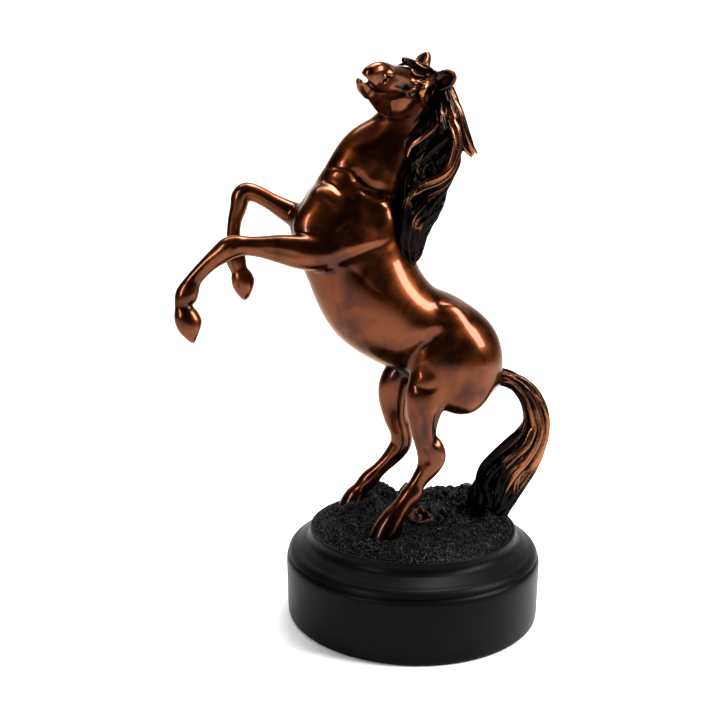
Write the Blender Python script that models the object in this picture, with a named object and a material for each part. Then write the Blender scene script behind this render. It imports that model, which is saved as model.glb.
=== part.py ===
"""Rearing horse statue on a turned black plinth, cast in sections that are pinned together.

Run it in Blender 4.5. Lengths are metres, +Z is up, and the horse faces -X. The origin is the
middle of the felt underneath, so the statue stands on z = 0 and the horse's mirror plane is y = 0.
"""

import math

import bmesh
import bpy
from mathutils import Matrix, Vector

MM = 0.001
GAP = 0.35 * MM  # room between a casting and its neighbour
FIT = 0.35 * MM  # radial room round a pin, stud or screw

# Plinth, from the felt upwards
FELT_THICKNESS = 1.0 * MM
FELT_RADIUS = 59.0 * MM
FOOT_HEIGHT = 0.4 * MM
PLINTH_FOOT_RADIUS = 62.7 * MM
PLINTH_DRUM_RADIUS = 63.5 * MM
PLINTH_DRUM_HEIGHT = 27.0 * MM
PLINTH_CREASE_RADIUS = 61.9 * MM
PLINTH_CREASE_HEIGHT = 31.7 * MM
PLINTH_LIP_RADIUS = 62.4 * MM
PLINTH_LIP_HEIGHT = 32.6 * MM
PLINTH_SHOULDER_RADIUS = 62.9 * MM
PLINTH_SHOULDER_HEIGHT = 30.8 * MM
PLINTH_RIM_RADIUS = 51.7 * MM
PLINTH_RIM_HEIGHT = 44.4 * MM
PLINTH_BEAD_RADIUS = 0.8 * MM
PLINTH_COVE_CENTRE = (56.3 * MM, 42.5 * MM)
PLINTH_COVE_RADIUS = 4.7 * MM
PLINTH_ROUND_CENTRE = (57.8 * MM, 31.0 * MM)
PLINTH_ROUND_RADIUS = 5.0 * MM
SEAT_RADIUS = 50.2 * MM
SEAT_HEIGHT = 35.0 * MM
CAVITY_RADIUS = 47.0 * MM
CAVITY_HEIGHT = 24.0 * MM
TURNED_SEGMENTS = 64

# Ground disc that fills the seat in the plinth's top
GROUND_RADIUS = SEAT_RADIUS - GAP
GROUND_TOP = 45.0 * MM
GROUND_RINGS = 16
GROUND_SEGMENTS = 64

# Mounds of the ground, in millimetres: centre x, y, height, half width along x, half width along y
MOUNDS = (
    (-21.0, 25.0, 9.0, 7.5, 9.0),
    (-37.0, 22.0, 2.6, 6.0, 9.0),
    (-30.0, 11.5, 5.4, 8.0, 5.5),
    (-21.0, 13.5, 6.4, 7.0, 6.0),
    (-10.0, 32.0, 7.6, 9.0, 7.0),
    (4.0, 31.0, 8.0, 5.0, 6.5),
    (18.0, 31.0, 5.4, 9.0, 7.0),
    (32.0, 17.0, 10.0, 8.5, 10.0),
    (28.0, 27.0, 5.5, 8.0, 7.0),
    (4.0, 0.0, 3.4, 10.0, 7.0),
    (17.0, 2.0, 2.6, 7.0, 8.0),
    (-30.0, 4.0, 1.8, 8.0, 9.0),
)

# Pins, studs, nuts, screws and washers
DOWEL_RADIUS = 1.6 * MM
TAIL_DOWEL_RADIUS = 1.1 * MM
STUD_RADIUS = 1.25 * MM
SCREW_RADIUS = 1.25 * MM
SCREW_HEAD_RADIUS = 2.6 * MM
SCREW_HEAD_HEIGHT = 2.0 * MM
SCREW_TOP = 41.0 * MM
WASHER_RADIUS = 3.4 * MM
WASHER_THICKNESS = 0.8 * MM
NUT_RADIUS = 2.9 * MM
NUT_HEIGHT = 2.2 * MM
STUD_FOOT = 18.4 * MM
SCREW_CIRCLE_RADIUS = 31.0 * MM
SCREW_ANGLES = (80.0, 200.0, 320.0)

# Stations of the castings, in millimetres: x, y, z, half depth fore and aft, half width across.
BARREL = (
    (31.0, 0.0, 121.4, 15.8, 16.2),
    (21.8, 0.0, 131.2, 21.4, 20.0),
    (11.0, 0.0, 139.7, 21.8, 20.4),
    (1.0, 0.0, 143.8, 22.0, 20.6),
    (-8.6, 0.0, 149.0, 23.4, 21.4),
    (-19.0, 0.0, 158.6, 25.4, 22.2),
    (-26.0, 0.0, 171.9, 25.4, 21.2),
    (-32.8, 0.0, 184.5, 22.6, 18.5),
)
NECK = (
    (-35.2, 0.0, 184.5, 22.2, 16.5),
    (-30.2, 0.0, 198.0, 22.8, 15.4),
    (-23.6, 0.0, 209.7, 22.6, 13.4),
    (-17.2, -0.3, 222.2, 21.0, 12.1),
    (-11.2, -1.2, 231.5, 16.4, 11.2),
    (-7.2, -2.8, 239.5, 13.2, 10.2),
    (-4.0, -5.0, 247.0, 11.2, 9.1),
)
NEAR_FORELEG = (
    (-41.5, -14.5, 181.5, 7.4, 5.4),
    (-48.5, -15.6, 181.5, 7.8, 6.4),
    (-56.0, -16.0, 182.4, 8.0, 6.6),
    (-65.3, -15.0, 183.9, 6.6, 5.8),
    (-73.3, -14.0, 184.8, 4.9, 4.7),
    (-80.3, -13.2, 185.2, 4.4, 4.4),
    (-87.0, -12.6, 184.0, 5.2, 4.9),
    (-94.6, -12.0, 179.4, 4.2, 3.9),
    (-103.6, -12.0, 170.4, 3.7, 3.3),
    (-107.6, -12.0, 163.0, 5.0, 4.3),
    (-109.6, -12.0, 157.6, 4.2, 3.8),
    (-108.4, -12.0, 152.6, 5.8, 5.0),
    (-106.8, -12.0, 148.4, 5.1, 4.8),
    (-105.8, -12.0, 143.8, 2.2, 2.9),
)
FAR_FORELEG = (
    (-43.5, 12.4, 192.4, 6.8, 5.6),
    (-51.5, 13.0, 195.0, 6.4, 6.0),
    (-60.0, 13.8, 199.4, 5.0, 5.2),
    (-67.0, 14.0, 203.4, 4.0, 4.3),
    (-73.8, 14.0, 207.2, 4.1, 4.2),
    (-79.8, 14.0, 207.9, 4.8, 4.6),
    (-83.6, 14.0, 201.2, 3.8, 3.9),
    (-85.2, 14.0, 192.6, 3.5, 3.2),
    (-85.9, 14.0, 184.6, 3.6, 3.2),
    (-85.9, 14.0, 177.4, 4.4, 3.9),
    (-84.3, 14.0, 171.4, 4.9, 4.4),
    (-82.0, 14.0, 166.0, 5.0, 4.6),
    (-81.3, 14.0, 159.8, 1.9, 2.6),
)
NEAR_HIND_LEG = (
    (11.0, -12.0, 121.5, 8.6, 6.4),
    (4.6, -13.2, 116.5, 10.6, 7.6),
    (2.2, -13.8, 107.6, 8.6, 7.0),
    (1.8, -14.0, 98.6, 6.6, 5.6),
    (2.8, -14.0, 91.6, 5.8, 4.8),
    (5.6, -14.0, 84.4, 6.6, 4.9),
    (3.8, -14.2, 77.6, 5.2, 4.5),
    (-0.6, -14.6, 70.8, 3.9, 3.7),
    (-4.0, -15.2, 64.8, 4.8, 4.4),
    (-8.6, -16.2, 60.0, 4.1, 4.1),
    (-12.4, -17.0, 55.6, 5.4, 5.4),
    (-16.0, -17.8, 49.8, 6.8, 6.2),
    (-17.4, -18.0, 45.2, 7.4, 6.6),
)
FAR_HIND_LEG = (
    (0.5, 13.0, 122.5, 8.4, 6.4),
    (-4.8, 14.0, 116.0, 8.8, 7.2),
    (-6.4, 15.0, 107.6, 7.8, 6.8),
    (-5.0, 16.0, 96.6, 6.2, 5.4),
    (-2.6, 16.5, 88.0, 5.4, 4.7),
    (-1.8, 17.0, 80.8, 5.8, 4.8),
    (-6.6, 17.5, 74.6, 4.7, 4.2),
    (-13.4, 18.0, 68.0, 3.7, 3.5),
    (-19.2, 18.8, 62.0, 4.8, 4.3),
    (-23.6, 19.4, 57.4, 4.3, 4.2),
    (-26.6, 20.0, 53.0, 5.6, 5.4),
    (-28.4, 20.0, 46.4, 6.6, 6.0),
)
TAIL = (
    (38.6, 0.0, 119.6, 4.2, 4.2),
    (45.2, 0.0, 118.7, 3.8, 4.2),
    (50.8, 0.0, 116.3, 3.7, 4.8),
    (56.2, 0.0, 112.4, 4.0, 5.6),
    (60.6, 0.0, 107.0, 4.7, 6.2),
    (63.2, 0.0, 100.4, 5.5, 7.0),
    (63.4, 0.5, 92.6, 6.8, 7.8),
    (60.6, 1.0, 84.6, 9.2, 8.6),
    (56.4, 2.0, 77.0, 11.2, 9.2),
    (51.4, 3.0, 69.2, 12.4, 9.8),
    (45.8, 4.0, 61.0, 12.8, 10.3),
    (40.0, 4.0, 52.6, 11.6, 10.4),
    (37.8, 4.0, 43.0, 10.8, 10.2),
)
MANE = (
    (5.4, -5.6, 262.0, 3.3, 4.3),
    (8.3, -6.8, 255.8, 6.0, 7.4),
    (9.8, -7.8, 247.5, 8.8, 9.0),
    (9.6, -8.0, 238.5, 12.0, 9.8),
    (7.8, -8.0, 229.6, 13.2, 10.0),
    (5.6, -8.0, 221.0, 11.4, 10.0),
    (2.8, -8.4, 212.0, 10.3, 9.6),
    (0.8, -8.6, 203.0, 9.4, 9.3),
    (-2.4, -8.6, 194.0, 7.1, 8.0),
    (-3.8, -8.0, 185.5, 5.9, 6.6),
    (-3.6, -7.0, 178.4, 4.2, 4.8),
    (-2.8, -6.0, 173.6, 1.8, 2.2),
)
MANE_FLICK = (
    (14.0, -6.5, 256.0, 3.4, 3.6),
    (18.2, -6.5, 247.6, 4.0, 4.4),
    (21.0, -6.5, 238.5, 4.2, 4.2),
    (23.8, -6.4, 231.0, 3.4, 3.2),
    (27.4, -6.2, 226.6, 1.4, 1.4),
)

# Bulges that are joined to the barrel: centre, then the half sizes along, across and up its axis.
HAUNCH_CENTRE = Vector((18.8, 10.0, 124.8)) * MM
HAUNCH_SIZE = Vector((19.2, 12.0, 18.6)) * MM
HAUNCH_LEAN = 38.0
SHOULDER_CENTRE = Vector((-32.0, 9.5, 190.0)) * MM
SHOULDER_SIZE = Vector((24.0, 11.5, 17.5)) * MM
SHOULDER_LEAN = 24.0
BREAST_CENTRE = Vector((-49.6, 8.0, 193.0)) * MM
BREAST_SIZE = Vector((9.4, 8.6, 10.5)) * MM
BREAST_LEAN = -12.0

# Head, set out in its own frame: x from the poll to the muzzle, y to the left, z to the forehead.
POLL = Vector((5.5, -7.0, 262.0)) * MM
HEAD_LENGTH = 48.0 * MM
HEAD_TURN = 228.0
HEAD_LIFT = -1.0
HEAD_ROLL = -38.0
SKULL = (
    (-0.02, 0.0, -0.15, 0.12, 0.12),
    (0.1, 0.0, -0.19, 0.2, 0.155),
    (0.26, 0.0, -0.225, 0.245, 0.165),
    (0.42, 0.0, -0.225, 0.24, 0.148),
    (0.56, 0.0, -0.195, 0.21, 0.116),
    (0.7, 0.0, -0.155, 0.172, 0.1),
    (0.82, 0.0, -0.115, 0.14, 0.096),
    (0.92, 0.0, -0.098, 0.118, 0.09),
    (0.98, 0.0, -0.104, 0.098, 0.08),
)
LOWER_JAW = (
    (0.58, 0.0, -0.325, 0.08, 0.072),
    (0.72, 0.0, -0.3, 0.068, 0.066),
    (0.86, 0.0, -0.272, 0.056, 0.062),
    (0.97, 0.0, -0.25, 0.048, 0.058),
)
NEAR_EAR = (
    (0.1, 0.08, -0.1, 0.045, 0.05),
    (0.09, 0.12, -0.035, 0.048, 0.068),
    (0.085, 0.16, 0.025, 0.046, 0.085),
    (0.085, 0.198, 0.072, 0.04, 0.082),
    (0.09, 0.232, 0.118, 0.024, 0.044),
)
FAR_EAR = (
    (0.09, -0.07, -0.1, 0.045, 0.05),
    (0.05, -0.105, -0.035, 0.046, 0.062),
    (0.01, -0.145, 0.012, 0.044, 0.072),
    (-0.04, -0.18, 0.05, 0.036, 0.06),
    (-0.1, -0.21, 0.096, 0.014, 0.022),
)
FORELOCK = (
    ((0.00, 0.02, 0.00, 0.05, 0.08), (0.10, 0.03, 0.055, 0.05, 0.09), (0.22, 0.03, 0.045, 0.035, 0.06)),
    ((0.06, 0.02, 0.02, 0.04, 0.04), (0.14, 0.08, 0.04, 0.04, 0.045), (0.22, 0.16, -0.04, 0.03, 0.04)),
    ((0.06, 0.0, 0.02, 0.04, 0.04), (0.20, -0.02, 0.06, 0.045, 0.045), (0.34, -0.03, 0.075, 0.03, 0.03)),
)


def clear_scene():
    for item in list(bpy.data.objects):
        bpy.data.objects.remove(item, do_unlink=True)


def material(name, colour, roughness, metallic):
    result = bpy.data.materials.new(name)
    result.use_nodes = True
    shader = result.node_tree.nodes["Principled BSDF"]
    shader.inputs["Base Color"].default_value = (*colour, 1.0)
    shader.inputs["Roughness"].default_value = roughness
    shader.inputs["Metallic"].default_value = metallic
    return result


def new_object(name, builder, look=None, cutter=False):
    """An object from a filled bmesh; a cutter only shapes other objects."""
    mesh = bpy.data.meshes.new(name)
    bmesh.ops.recalc_face_normals(builder, faces=builder.faces)
    builder.to_mesh(mesh)
    builder.free()
    item = bpy.data.objects.new(name, mesh)
    bpy.context.scene.collection.objects.link(item)
    if look:
        mesh.materials.append(look)
    mesh.shade_smooth()
    mesh.set_sharp_from_angle(angle=math.radians(40.0))
    if cutter:
        item.hide_render = True
        item.display_type = "WIRE"
    return item


def boolean(item, operation, operands):
    for operand in operands:
        modifier = item.modifiers.new(operation.lower(), "BOOLEAN")
        modifier.operation = operation
        modifier.object = operand
        modifier.solver = "EXACT"


def between(values, step):
    """Catmull-Rom value between the middle two of four stations."""
    before, start, end, after = values
    return 0.5 * (
        2.0 * start
        + (end - before) * step
        + (2.0 * before - 5.0 * start + 4.0 * end - after) * step ** 2
        + (3.0 * start - before - 3.0 * end + after) * step ** 3
    )


def refine(stations, steps):
    """Stations with smooth ones put in between."""
    last = len(stations) - 1
    result = []
    for index in range(last):
        four = [stations[min(max(index + shift, 0), last)] for shift in (-1, 0, 1, 2)]
        for step in range(steps):
            result.append([between(values, step / steps) for values in zip(*four)])
    result.append(list(stations[last]))
    return result


def end_dome(rings, length, at_start):
    """Shrinking rings that round off one end of a loft."""
    centre, along, depth, width = rings[0] if at_start else rings[-1]
    outward = -along if at_start else along
    dome = []
    for angle in (0.5, 0.95, 1.3):
        scale = math.cos(angle)
        dome.append((centre + outward * length * math.sin(angle), along, depth * scale, width * scale))
    return dome[::-1] + rings if at_start else rings + dome


def loft(stations, unit=MM, sides=10, steps=2, grow=0.0, domes=(0.0, 0.0), end_along=None):
    """A closed tube of oval rings through the stations."""
    fine = refine(stations, steps)
    points = [Vector(row[:3]) * unit for row in fine]
    rings = []
    for index, row in enumerate(fine):
        along = points[min(index + 1, len(points) - 1)] - points[max(index - 1, 0)]
        if end_along and index == len(points) - 1:
            along = Vector(end_along)
        rings.append((points[index], along.normalized(), row[3] * unit + grow, row[4] * unit + grow))
    if grow:
        first = rings[0]
        final = rings[-1]
        rings[0] = (first[0] - first[1] * grow, *first[1:])
        rings[-1] = (final[0] + final[1] * grow, *final[1:])
    if domes[0]:
        rings = end_dome(rings, domes[0] + grow, True)
    if domes[1]:
        rings = end_dome(rings, domes[1] + grow, False)
    builder = bmesh.new()
    loops = []
    for centre, along, depth, width in rings:
        across = (Vector((0.0, 1.0, 0.0)) - along * along.y).normalized()
        upward = across.cross(along)
        loop = []
        for side in range(sides):
            angle = 2.0 * math.pi * side / sides
            offset = upward * depth * math.cos(angle) + across * width * math.sin(angle)
            loop.append(builder.verts.new(centre + offset))
        loops.append(loop)
    for lower, upper in zip(loops, loops[1:]):
        for side in range(sides):
            following = (side + 1) % sides
            builder.faces.new((lower[side], lower[following], upper[following], upper[side]))
    builder.faces.new(loops[0])
    builder.faces.new(loops[-1])
    return builder


def lathe(profile, segments=TURNED_SEGMENTS):
    """A solid turned round the Z axis from (radius, height) pairs; both ends lie on the axis."""
    builder = bmesh.new()
    loops = []
    for radius, height in profile:
        count = segments if radius else 1
        turns = [2.0 * math.pi * index / segments for index in range(count)]
        loops.append([
            builder.verts.new((radius * math.cos(turn), radius * math.sin(turn), height)) for turn in turns
        ])
    for lower, upper in zip(loops, loops[1:]):
        for index in range(segments):
            following = (index + 1) % segments
            corners = [
                lower[index % len(lower)],
                lower[following % len(lower)],
                upper[following % len(upper)],
                upper[index % len(upper)],
            ]
            builder.faces.new(list(dict.fromkeys(corners)))
    return builder


def rod(start, end, radius, sides=12, extra=0.0):
    """A cylinder from start to end, made longer by extra at both ends."""
    axis = end - start
    length = axis.length + 2.0 * extra
    builder = bmesh.new()
    turn = Vector((0.0, 0.0, 1.0)).rotation_difference(axis).to_matrix().to_4x4()
    place = Matrix.Translation((start + end) / 2.0) @ turn
    bmesh.ops.create_cone(
        builder, cap_ends=True, segments=sides, radius1=radius, radius2=radius, depth=length, matrix=place
    )
    return builder


def collar(centre, outer, inner, height, sides, name, look):
    """A washer or a nut standing on centre."""
    profile = ((outer, 0.0), (outer, height), (inner, height), (inner, 0.0))
    builder = bmesh.new()
    loops = []
    for radius, level in profile:
        loop = []
        for side in range(sides):
            angle = 2.0 * math.pi * side / sides
            loop.append(builder.verts.new((radius * math.cos(angle), radius * math.sin(angle), level)))
        loops.append(loop)
    for lower, upper in zip(loops, loops[1:] + loops[:1]):
        for side in range(sides):
            following = (side + 1) % sides
            builder.faces.new((lower[side], lower[following], upper[following], upper[side]))
    item = new_object(name, builder, look)
    item.location = centre
    return item


def bulge(centre, size, lean, mirror, name):
    """An egg-shaped muscle on the near (mirror -1) or far (mirror 1) side."""
    builder = bmesh.new()
    bmesh.ops.create_uvsphere(builder, u_segments=16, v_segments=10, radius=1.0)
    place = Matrix.Translation(Vector((centre.x, centre.y * mirror, centre.z)))
    turn = Matrix.Rotation(math.radians(lean), 4, "Y")
    bmesh.ops.transform(builder, matrix=place @ turn @ Matrix.Diagonal((*size, 1.0)), verts=builder.verts)
    return new_object(name, builder, cutter=True)


def head_matrix():
    turn = Matrix.Rotation(math.radians(HEAD_TURN), 4, "Z")
    lift = Matrix.Rotation(math.radians(-HEAD_LIFT), 4, "Y")
    roll = Matrix.Rotation(math.radians(HEAD_ROLL), 4, "X")
    return Matrix.Translation(POLL) @ turn @ lift @ roll


def head_loft(stations, **settings):
    builder = loft(stations, unit=HEAD_LENGTH, **settings)
    bmesh.ops.transform(builder, matrix=head_matrix(), verts=builder.verts)
    return builder


# Each casting is a function of the room added all round, so that the same shape also cuts its neighbours.
def near_foreleg(grow=0.0):
    return loft(NEAR_FORELEG, grow=grow)


def far_foreleg(grow=0.0):
    return loft(FAR_FORELEG, grow=grow)


def near_hind_leg(grow=0.0):
    return loft(NEAR_HIND_LEG, grow=grow, end_along=(0.0, 0.0, -1.0))


def far_hind_leg(grow=0.0):
    return loft(FAR_HIND_LEG, grow=grow, end_along=(0.0, 0.0, -1.0))


def tail(grow=0.0):
    return loft(TAIL, grow=grow, sides=14, end_along=(0.0, 0.0, -1.0))


def neck(grow=0.0):
    return loft(NECK, grow=grow, sides=16)


def barrel(grow=0.0):
    return loft(BARREL, grow=grow, sides=20, domes=(15.0 * MM, 9.0 * MM))


def skull(grow=0.0):
    return head_loft(SKULL, sides=16, domes=(0.03 * HEAD_LENGTH, 3.0 * MM), grow=grow)


def pin(name, start, end, radius, look, hosts):
    """A plain pin, and its hole in every host."""
    start = Vector(start) * MM
    end = Vector(end) * MM
    new_object(name, rod(start, end, radius), look)
    hole = new_object(name + "_hole", rod(start, end, radius + FIT, extra=FIT), cutter=True)
    for host in hosts:
        boolean(host, "DIFFERENCE", [hole])


def stud(name, x, y, top, steel, hosts, plinth):
    """A stud from a casting down through the plinth's web, with a washer and a nut under the web."""
    start = Vector((x * MM, y * MM, STUD_FOOT))
    end = Vector((x * MM, y * MM, top * MM))
    new_object(name + "_stud", rod(start, end, STUD_RADIUS), steel)
    hole = new_object(name + "_stud_hole", rod(start, end, STUD_RADIUS + FIT, extra=FIT), cutter=True)
    for host in hosts + [plinth]:
        boolean(host, "DIFFERENCE", [hole])
    washer_foot = CAVITY_HEIGHT - GAP - WASHER_THICKNESS
    nut_foot = washer_foot - GAP - NUT_HEIGHT
    bore = STUD_RADIUS + FIT
    collar(Vector((start.x, start.y, washer_foot)), WASHER_RADIUS, bore, WASHER_THICKNESS, 14,
           name + "_washer", steel)
    collar(Vector((start.x, start.y, nut_foot)), NUT_RADIUS, bore, NUT_HEIGHT, 6, name + "_nut", steel)


def plinth_screw(number, angle, steel, ground, plinth):
    """A screw up through the plinth's web into the ground disc, with its washer."""
    x = SCREW_CIRCLE_RADIUS * math.cos(math.radians(angle))
    y = SCREW_CIRCLE_RADIUS * math.sin(math.radians(angle))
    washer_foot = CAVITY_HEIGHT - GAP - WASHER_THICKNESS
    head_top = washer_foot - GAP
    profile = (
        (0.0, head_top - SCREW_HEAD_HEIGHT),
        (0.8 * SCREW_HEAD_RADIUS, head_top - SCREW_HEAD_HEIGHT),
        (SCREW_HEAD_RADIUS, head_top - 0.6 * SCREW_HEAD_HEIGHT),
        (SCREW_HEAD_RADIUS, head_top),
        (SCREW_RADIUS, head_top),
        (SCREW_RADIUS, SCREW_TOP - SCREW_RADIUS),
        (0.0, SCREW_TOP),
    )
    screw = new_object(f"plinth_screw_{number}", lathe(profile, 12), steel)
    screw.location = (x, y, 0.0)
    start = Vector((x, y, head_top))
    end = Vector((x, y, SCREW_TOP))
    hole = new_object(screw.name + "_hole", rod(start, end, SCREW_RADIUS + FIT, extra=FIT), cutter=True)
    boolean(ground, "DIFFERENCE", [hole])
    boolean(plinth, "DIFFERENCE", [hole])
    collar(Vector((x, y, washer_foot)), WASHER_RADIUS, SCREW_RADIUS + FIT, WASHER_THICKNESS, 14,
           f"plinth_washer_{number}", steel)


def arc(centre, radius, first, last, steps):
    """Points of (radius, height) on an arc; the angles are degrees from outward."""
    points = []
    for step in range(steps):
        angle = math.radians(first + (last - first) * step / (steps - 1))
        points.append((centre[0] + radius * math.cos(angle), centre[1] + radius * math.sin(angle)))
    return points


def build_plinth(look):
    bead_centre = (PLINTH_RIM_RADIUS - PLINTH_BEAD_RADIUS, PLINTH_RIM_HEIGHT - PLINTH_BEAD_RADIUS)
    profile = [
        (0.0, SEAT_HEIGHT),
        (SEAT_RADIUS, SEAT_HEIGHT),
        (SEAT_RADIUS, PLINTH_RIM_HEIGHT),
        *arc(bead_centre, PLINTH_BEAD_RADIUS, 90.0, 0.0, 4),
        *arc(PLINTH_COVE_CENTRE, PLINTH_COVE_RADIUS, 188.0, 248.0, 6),
        *arc(PLINTH_ROUND_CENTRE, PLINTH_ROUND_RADIUS, 80.0, 24.0, 6),
        (PLINTH_LIP_RADIUS, PLINTH_LIP_HEIGHT),
        (PLINTH_CREASE_RADIUS, PLINTH_CREASE_HEIGHT),
        (PLINTH_SHOULDER_RADIUS, PLINTH_SHOULDER_HEIGHT),
        (PLINTH_DRUM_RADIUS, PLINTH_DRUM_HEIGHT),
        (PLINTH_FOOT_RADIUS, FOOT_HEIGHT + 1.2 * MM),
        (PLINTH_FOOT_RADIUS - 1.0 * MM, FOOT_HEIGHT),
        (FELT_RADIUS + GAP, FOOT_HEIGHT),
        (FELT_RADIUS + GAP, FELT_THICKNESS + GAP),
        (CAVITY_RADIUS, FELT_THICKNESS + GAP),
        (CAVITY_RADIUS, CAVITY_HEIGHT),
        (0.0, CAVITY_HEIGHT),
    ]
    return new_object("plinth", lathe(profile), look)


def build_felt(look):
    profile = ((0.0, 0.0), (FELT_RADIUS, 0.0), (FELT_RADIUS, FELT_THICKNESS), (0.0, FELT_THICKNESS))
    return new_object("felt_pad", lathe(profile), look)


def ground_height(x, y):
    """Rough ground that rises round the hooves, the tail's foot and the far edge; x, y in millimetres."""
    made = 0.0
    for centre_x, centre_y, height, along, across in MOUNDS:
        made = max(made, height * math.exp(-((x - centre_x) / along) ** 2 - ((y - centre_y) / across) ** 2))
    return made + 0.4 * math.sin(0.9 * x + 0.9) * math.cos(0.8 * y)


def build_ground(look):
    builder = bmesh.new()
    centre = builder.verts.new((0.0, 0.0, GROUND_TOP + ground_height(0.0, 0.0) * MM))
    loops = []
    for ring in range(1, GROUND_RINGS + 1):
        radius = GROUND_RADIUS * ring / GROUND_RINGS
        fade = min(1.0, 3.0 * (1.0 - ring / GROUND_RINGS))
        loop = []
        for index in range(GROUND_SEGMENTS):
            angle = 2.0 * math.pi * index / GROUND_SEGMENTS
            x = radius * math.cos(angle)
            y = radius * math.sin(angle)
            loop.append(builder.verts.new((x, y, GROUND_TOP + fade * ground_height(x / MM, y / MM) * MM)))
        loops.append(loop)
    foot = []
    for top in loops[-1]:
        foot.append(builder.verts.new((top.co.x, top.co.y, SEAT_HEIGHT + GAP)))
    loops.append(foot)
    for index in range(GROUND_SEGMENTS):
        following = (index + 1) % GROUND_SEGMENTS
        builder.faces.new((centre, loops[0][index], loops[0][following]))
        for lower, upper in zip(loops, loops[1:]):
            builder.faces.new((lower[index], lower[following], upper[following], upper[index]))
    builder.faces.new(foot)
    return new_object("ground_casting", builder, look)


def main():
    clear_scene()
    bronze = material("bronze", (0.23, 0.085, 0.032), 0.22, 1.0)
    patina = material("black_patina", (0.045, 0.022, 0.014), 0.38, 0.9)
    black = material("black_lacquer", (0.012, 0.012, 0.013), 0.42, 0.0)
    felt = material("felt", (0.02, 0.022, 0.02), 0.95, 0.0)
    steel = material("steel", (0.55, 0.55, 0.56), 0.35, 1.0)

    plinth = build_plinth(black)
    build_felt(felt)
    ground = build_ground(patina)

    foreleg_left = new_object("foreleg_left_casting", near_foreleg(), bronze)
    foreleg_right = new_object("foreleg_right_casting", far_foreleg(), bronze)
    hind_left = new_object("hind_leg_left_casting", near_hind_leg(), bronze)
    hind_right = new_object("hind_leg_right_casting", far_hind_leg(), bronze)
    tail_casting = new_object("tail_casting", tail(), patina)

    torso = new_object("torso_casting", barrel(), bronze)
    neck_part = new_object("neck_part", neck(), cutter=True)
    muscles = []
    for side, mirror in (("left", -1.0), ("right", 1.0)):
        muscles.append(bulge(HAUNCH_CENTRE, HAUNCH_SIZE, HAUNCH_LEAN, mirror, f"haunch_{side}"))
        muscles.append(bulge(SHOULDER_CENTRE, SHOULDER_SIZE, SHOULDER_LEAN, mirror, f"shoulder_{side}"))
        muscles.append(bulge(BREAST_CENTRE, BREAST_SIZE, BREAST_LEAN, mirror, f"breast_{side}"))
    boolean(torso, "UNION", [neck_part, *muscles])

    rooms = {}
    for shape in (near_foreleg, far_foreleg, near_hind_leg, far_hind_leg, tail, neck, barrel):
        rooms[shape.__name__] = new_object(shape.__name__ + "_room", shape(GAP), cutter=True)
    legs = [rooms[name] for name in ("near_foreleg", "far_foreleg", "near_hind_leg", "far_hind_leg")]
    boolean(torso, "DIFFERENCE", [*legs, rooms["tail"]])
    boolean(ground, "DIFFERENCE", [*legs[2:], rooms["tail"]])

    head = new_object("head_casting", skull(), bronze)
    jaw = new_object("jaw_part", head_loft(LOWER_JAW, domes=(0.0, 2.0 * MM)), cutter=True)
    ears = []
    ear_rooms = []
    for side, stations in (("left", NEAR_EAR), ("right", FAR_EAR)):
        ears.append(new_object(f"ear_{side}_part", head_loft(stations, sides=8), cutter=True))
        ear_rooms.append(new_object(f"ear_{side}_room", head_loft(stations, sides=8, grow=GAP), cutter=True))
    boolean(head, "UNION", [jaw, *ears])
    boolean(head, "DIFFERENCE", [rooms["neck"]])
    skull_room = new_object("skull_room", skull(GAP), cutter=True)

    mane = new_object("mane_casting", loft(MANE, sides=14), patina)
    flick = new_object("mane_flick_part", loft(MANE_FLICK, sides=8), cutter=True)
    shoulder_room = bulge(SHOULDER_CENTRE, SHOULDER_SIZE + Vector((GAP, GAP, GAP)), SHOULDER_LEAN, -1.0,
                          "shoulder_room")
    boolean(mane, "UNION", [flick])
    boolean(mane, "DIFFERENCE", [rooms["neck"], rooms["barrel"], shoulder_room, skull_room, *ear_rooms])

    forelock = new_object("forelock_casting", head_loft(FORELOCK[0], sides=8), patina)
    tufts = []
    for number, stations in enumerate(FORELOCK[1:], start=1):
        tufts.append(new_object(f"forelock_tuft_{number}", head_loft(stations, sides=8), cutter=True))
    boolean(forelock, "UNION", tufts)
    mane_room = new_object("mane_room", loft(MANE, sides=14, grow=GAP), cutter=True)
    boolean(forelock, "DIFFERENCE", [skull_room, *ear_rooms, mane_room])

    steel_pins = (
        ("neck_dowel", (-8.8, -2.4, 237.6), (-4.6, -8.4, 253.4), DOWEL_RADIUS, [torso, head]),
        ("mane_pin", (12.5, -8.0, 230.0), (-6.0, -1.6, 230.0), TAIL_DOWEL_RADIUS, [torso, mane]),
        ("foreleg_left_dowel", (-34.0, -13.6, 181.6), (-49.5, -15.6, 181.6), DOWEL_RADIUS,
         [torso, foreleg_left]),
        ("foreleg_right_dowel", (-36.5, 12.0, 191.4), (-51.0, 13.0, 196.4), DOWEL_RADIUS,
         [torso, foreleg_right]),
        ("hind_leg_left_dowel", (16.5, -11.0, 126.5), (4.8, -13.2, 115.0), DOWEL_RADIUS, [torso, hind_left]),
        ("hind_leg_right_dowel", (5.5, 11.8, 128.5), (-4.0, 14.0, 115.5), DOWEL_RADIUS, [torso, hind_right]),
        ("tail_dowel", (31.0, 0.0, 120.8), (45.0, 0.0, 118.6), TAIL_DOWEL_RADIUS, [torso, tail_casting]),
    )
    for name, start, end, radius, hosts in steel_pins:
        pin(name, start, end, radius, steel, hosts)

    stud("hoof_left", -16.6, -17.9, 52.0, steel, [hind_left, ground], plinth)
    stud("hoof_right", -28.0, 20.0, 52.0, steel, [hind_right, ground], plinth)
    stud("tail", 38.0, 4.0, 58.0, steel, [tail_casting, ground], plinth)
    for number, angle in enumerate(SCREW_ANGLES, start=1):
        plinth_screw(number, angle, steel, ground, plinth)


main()
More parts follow.
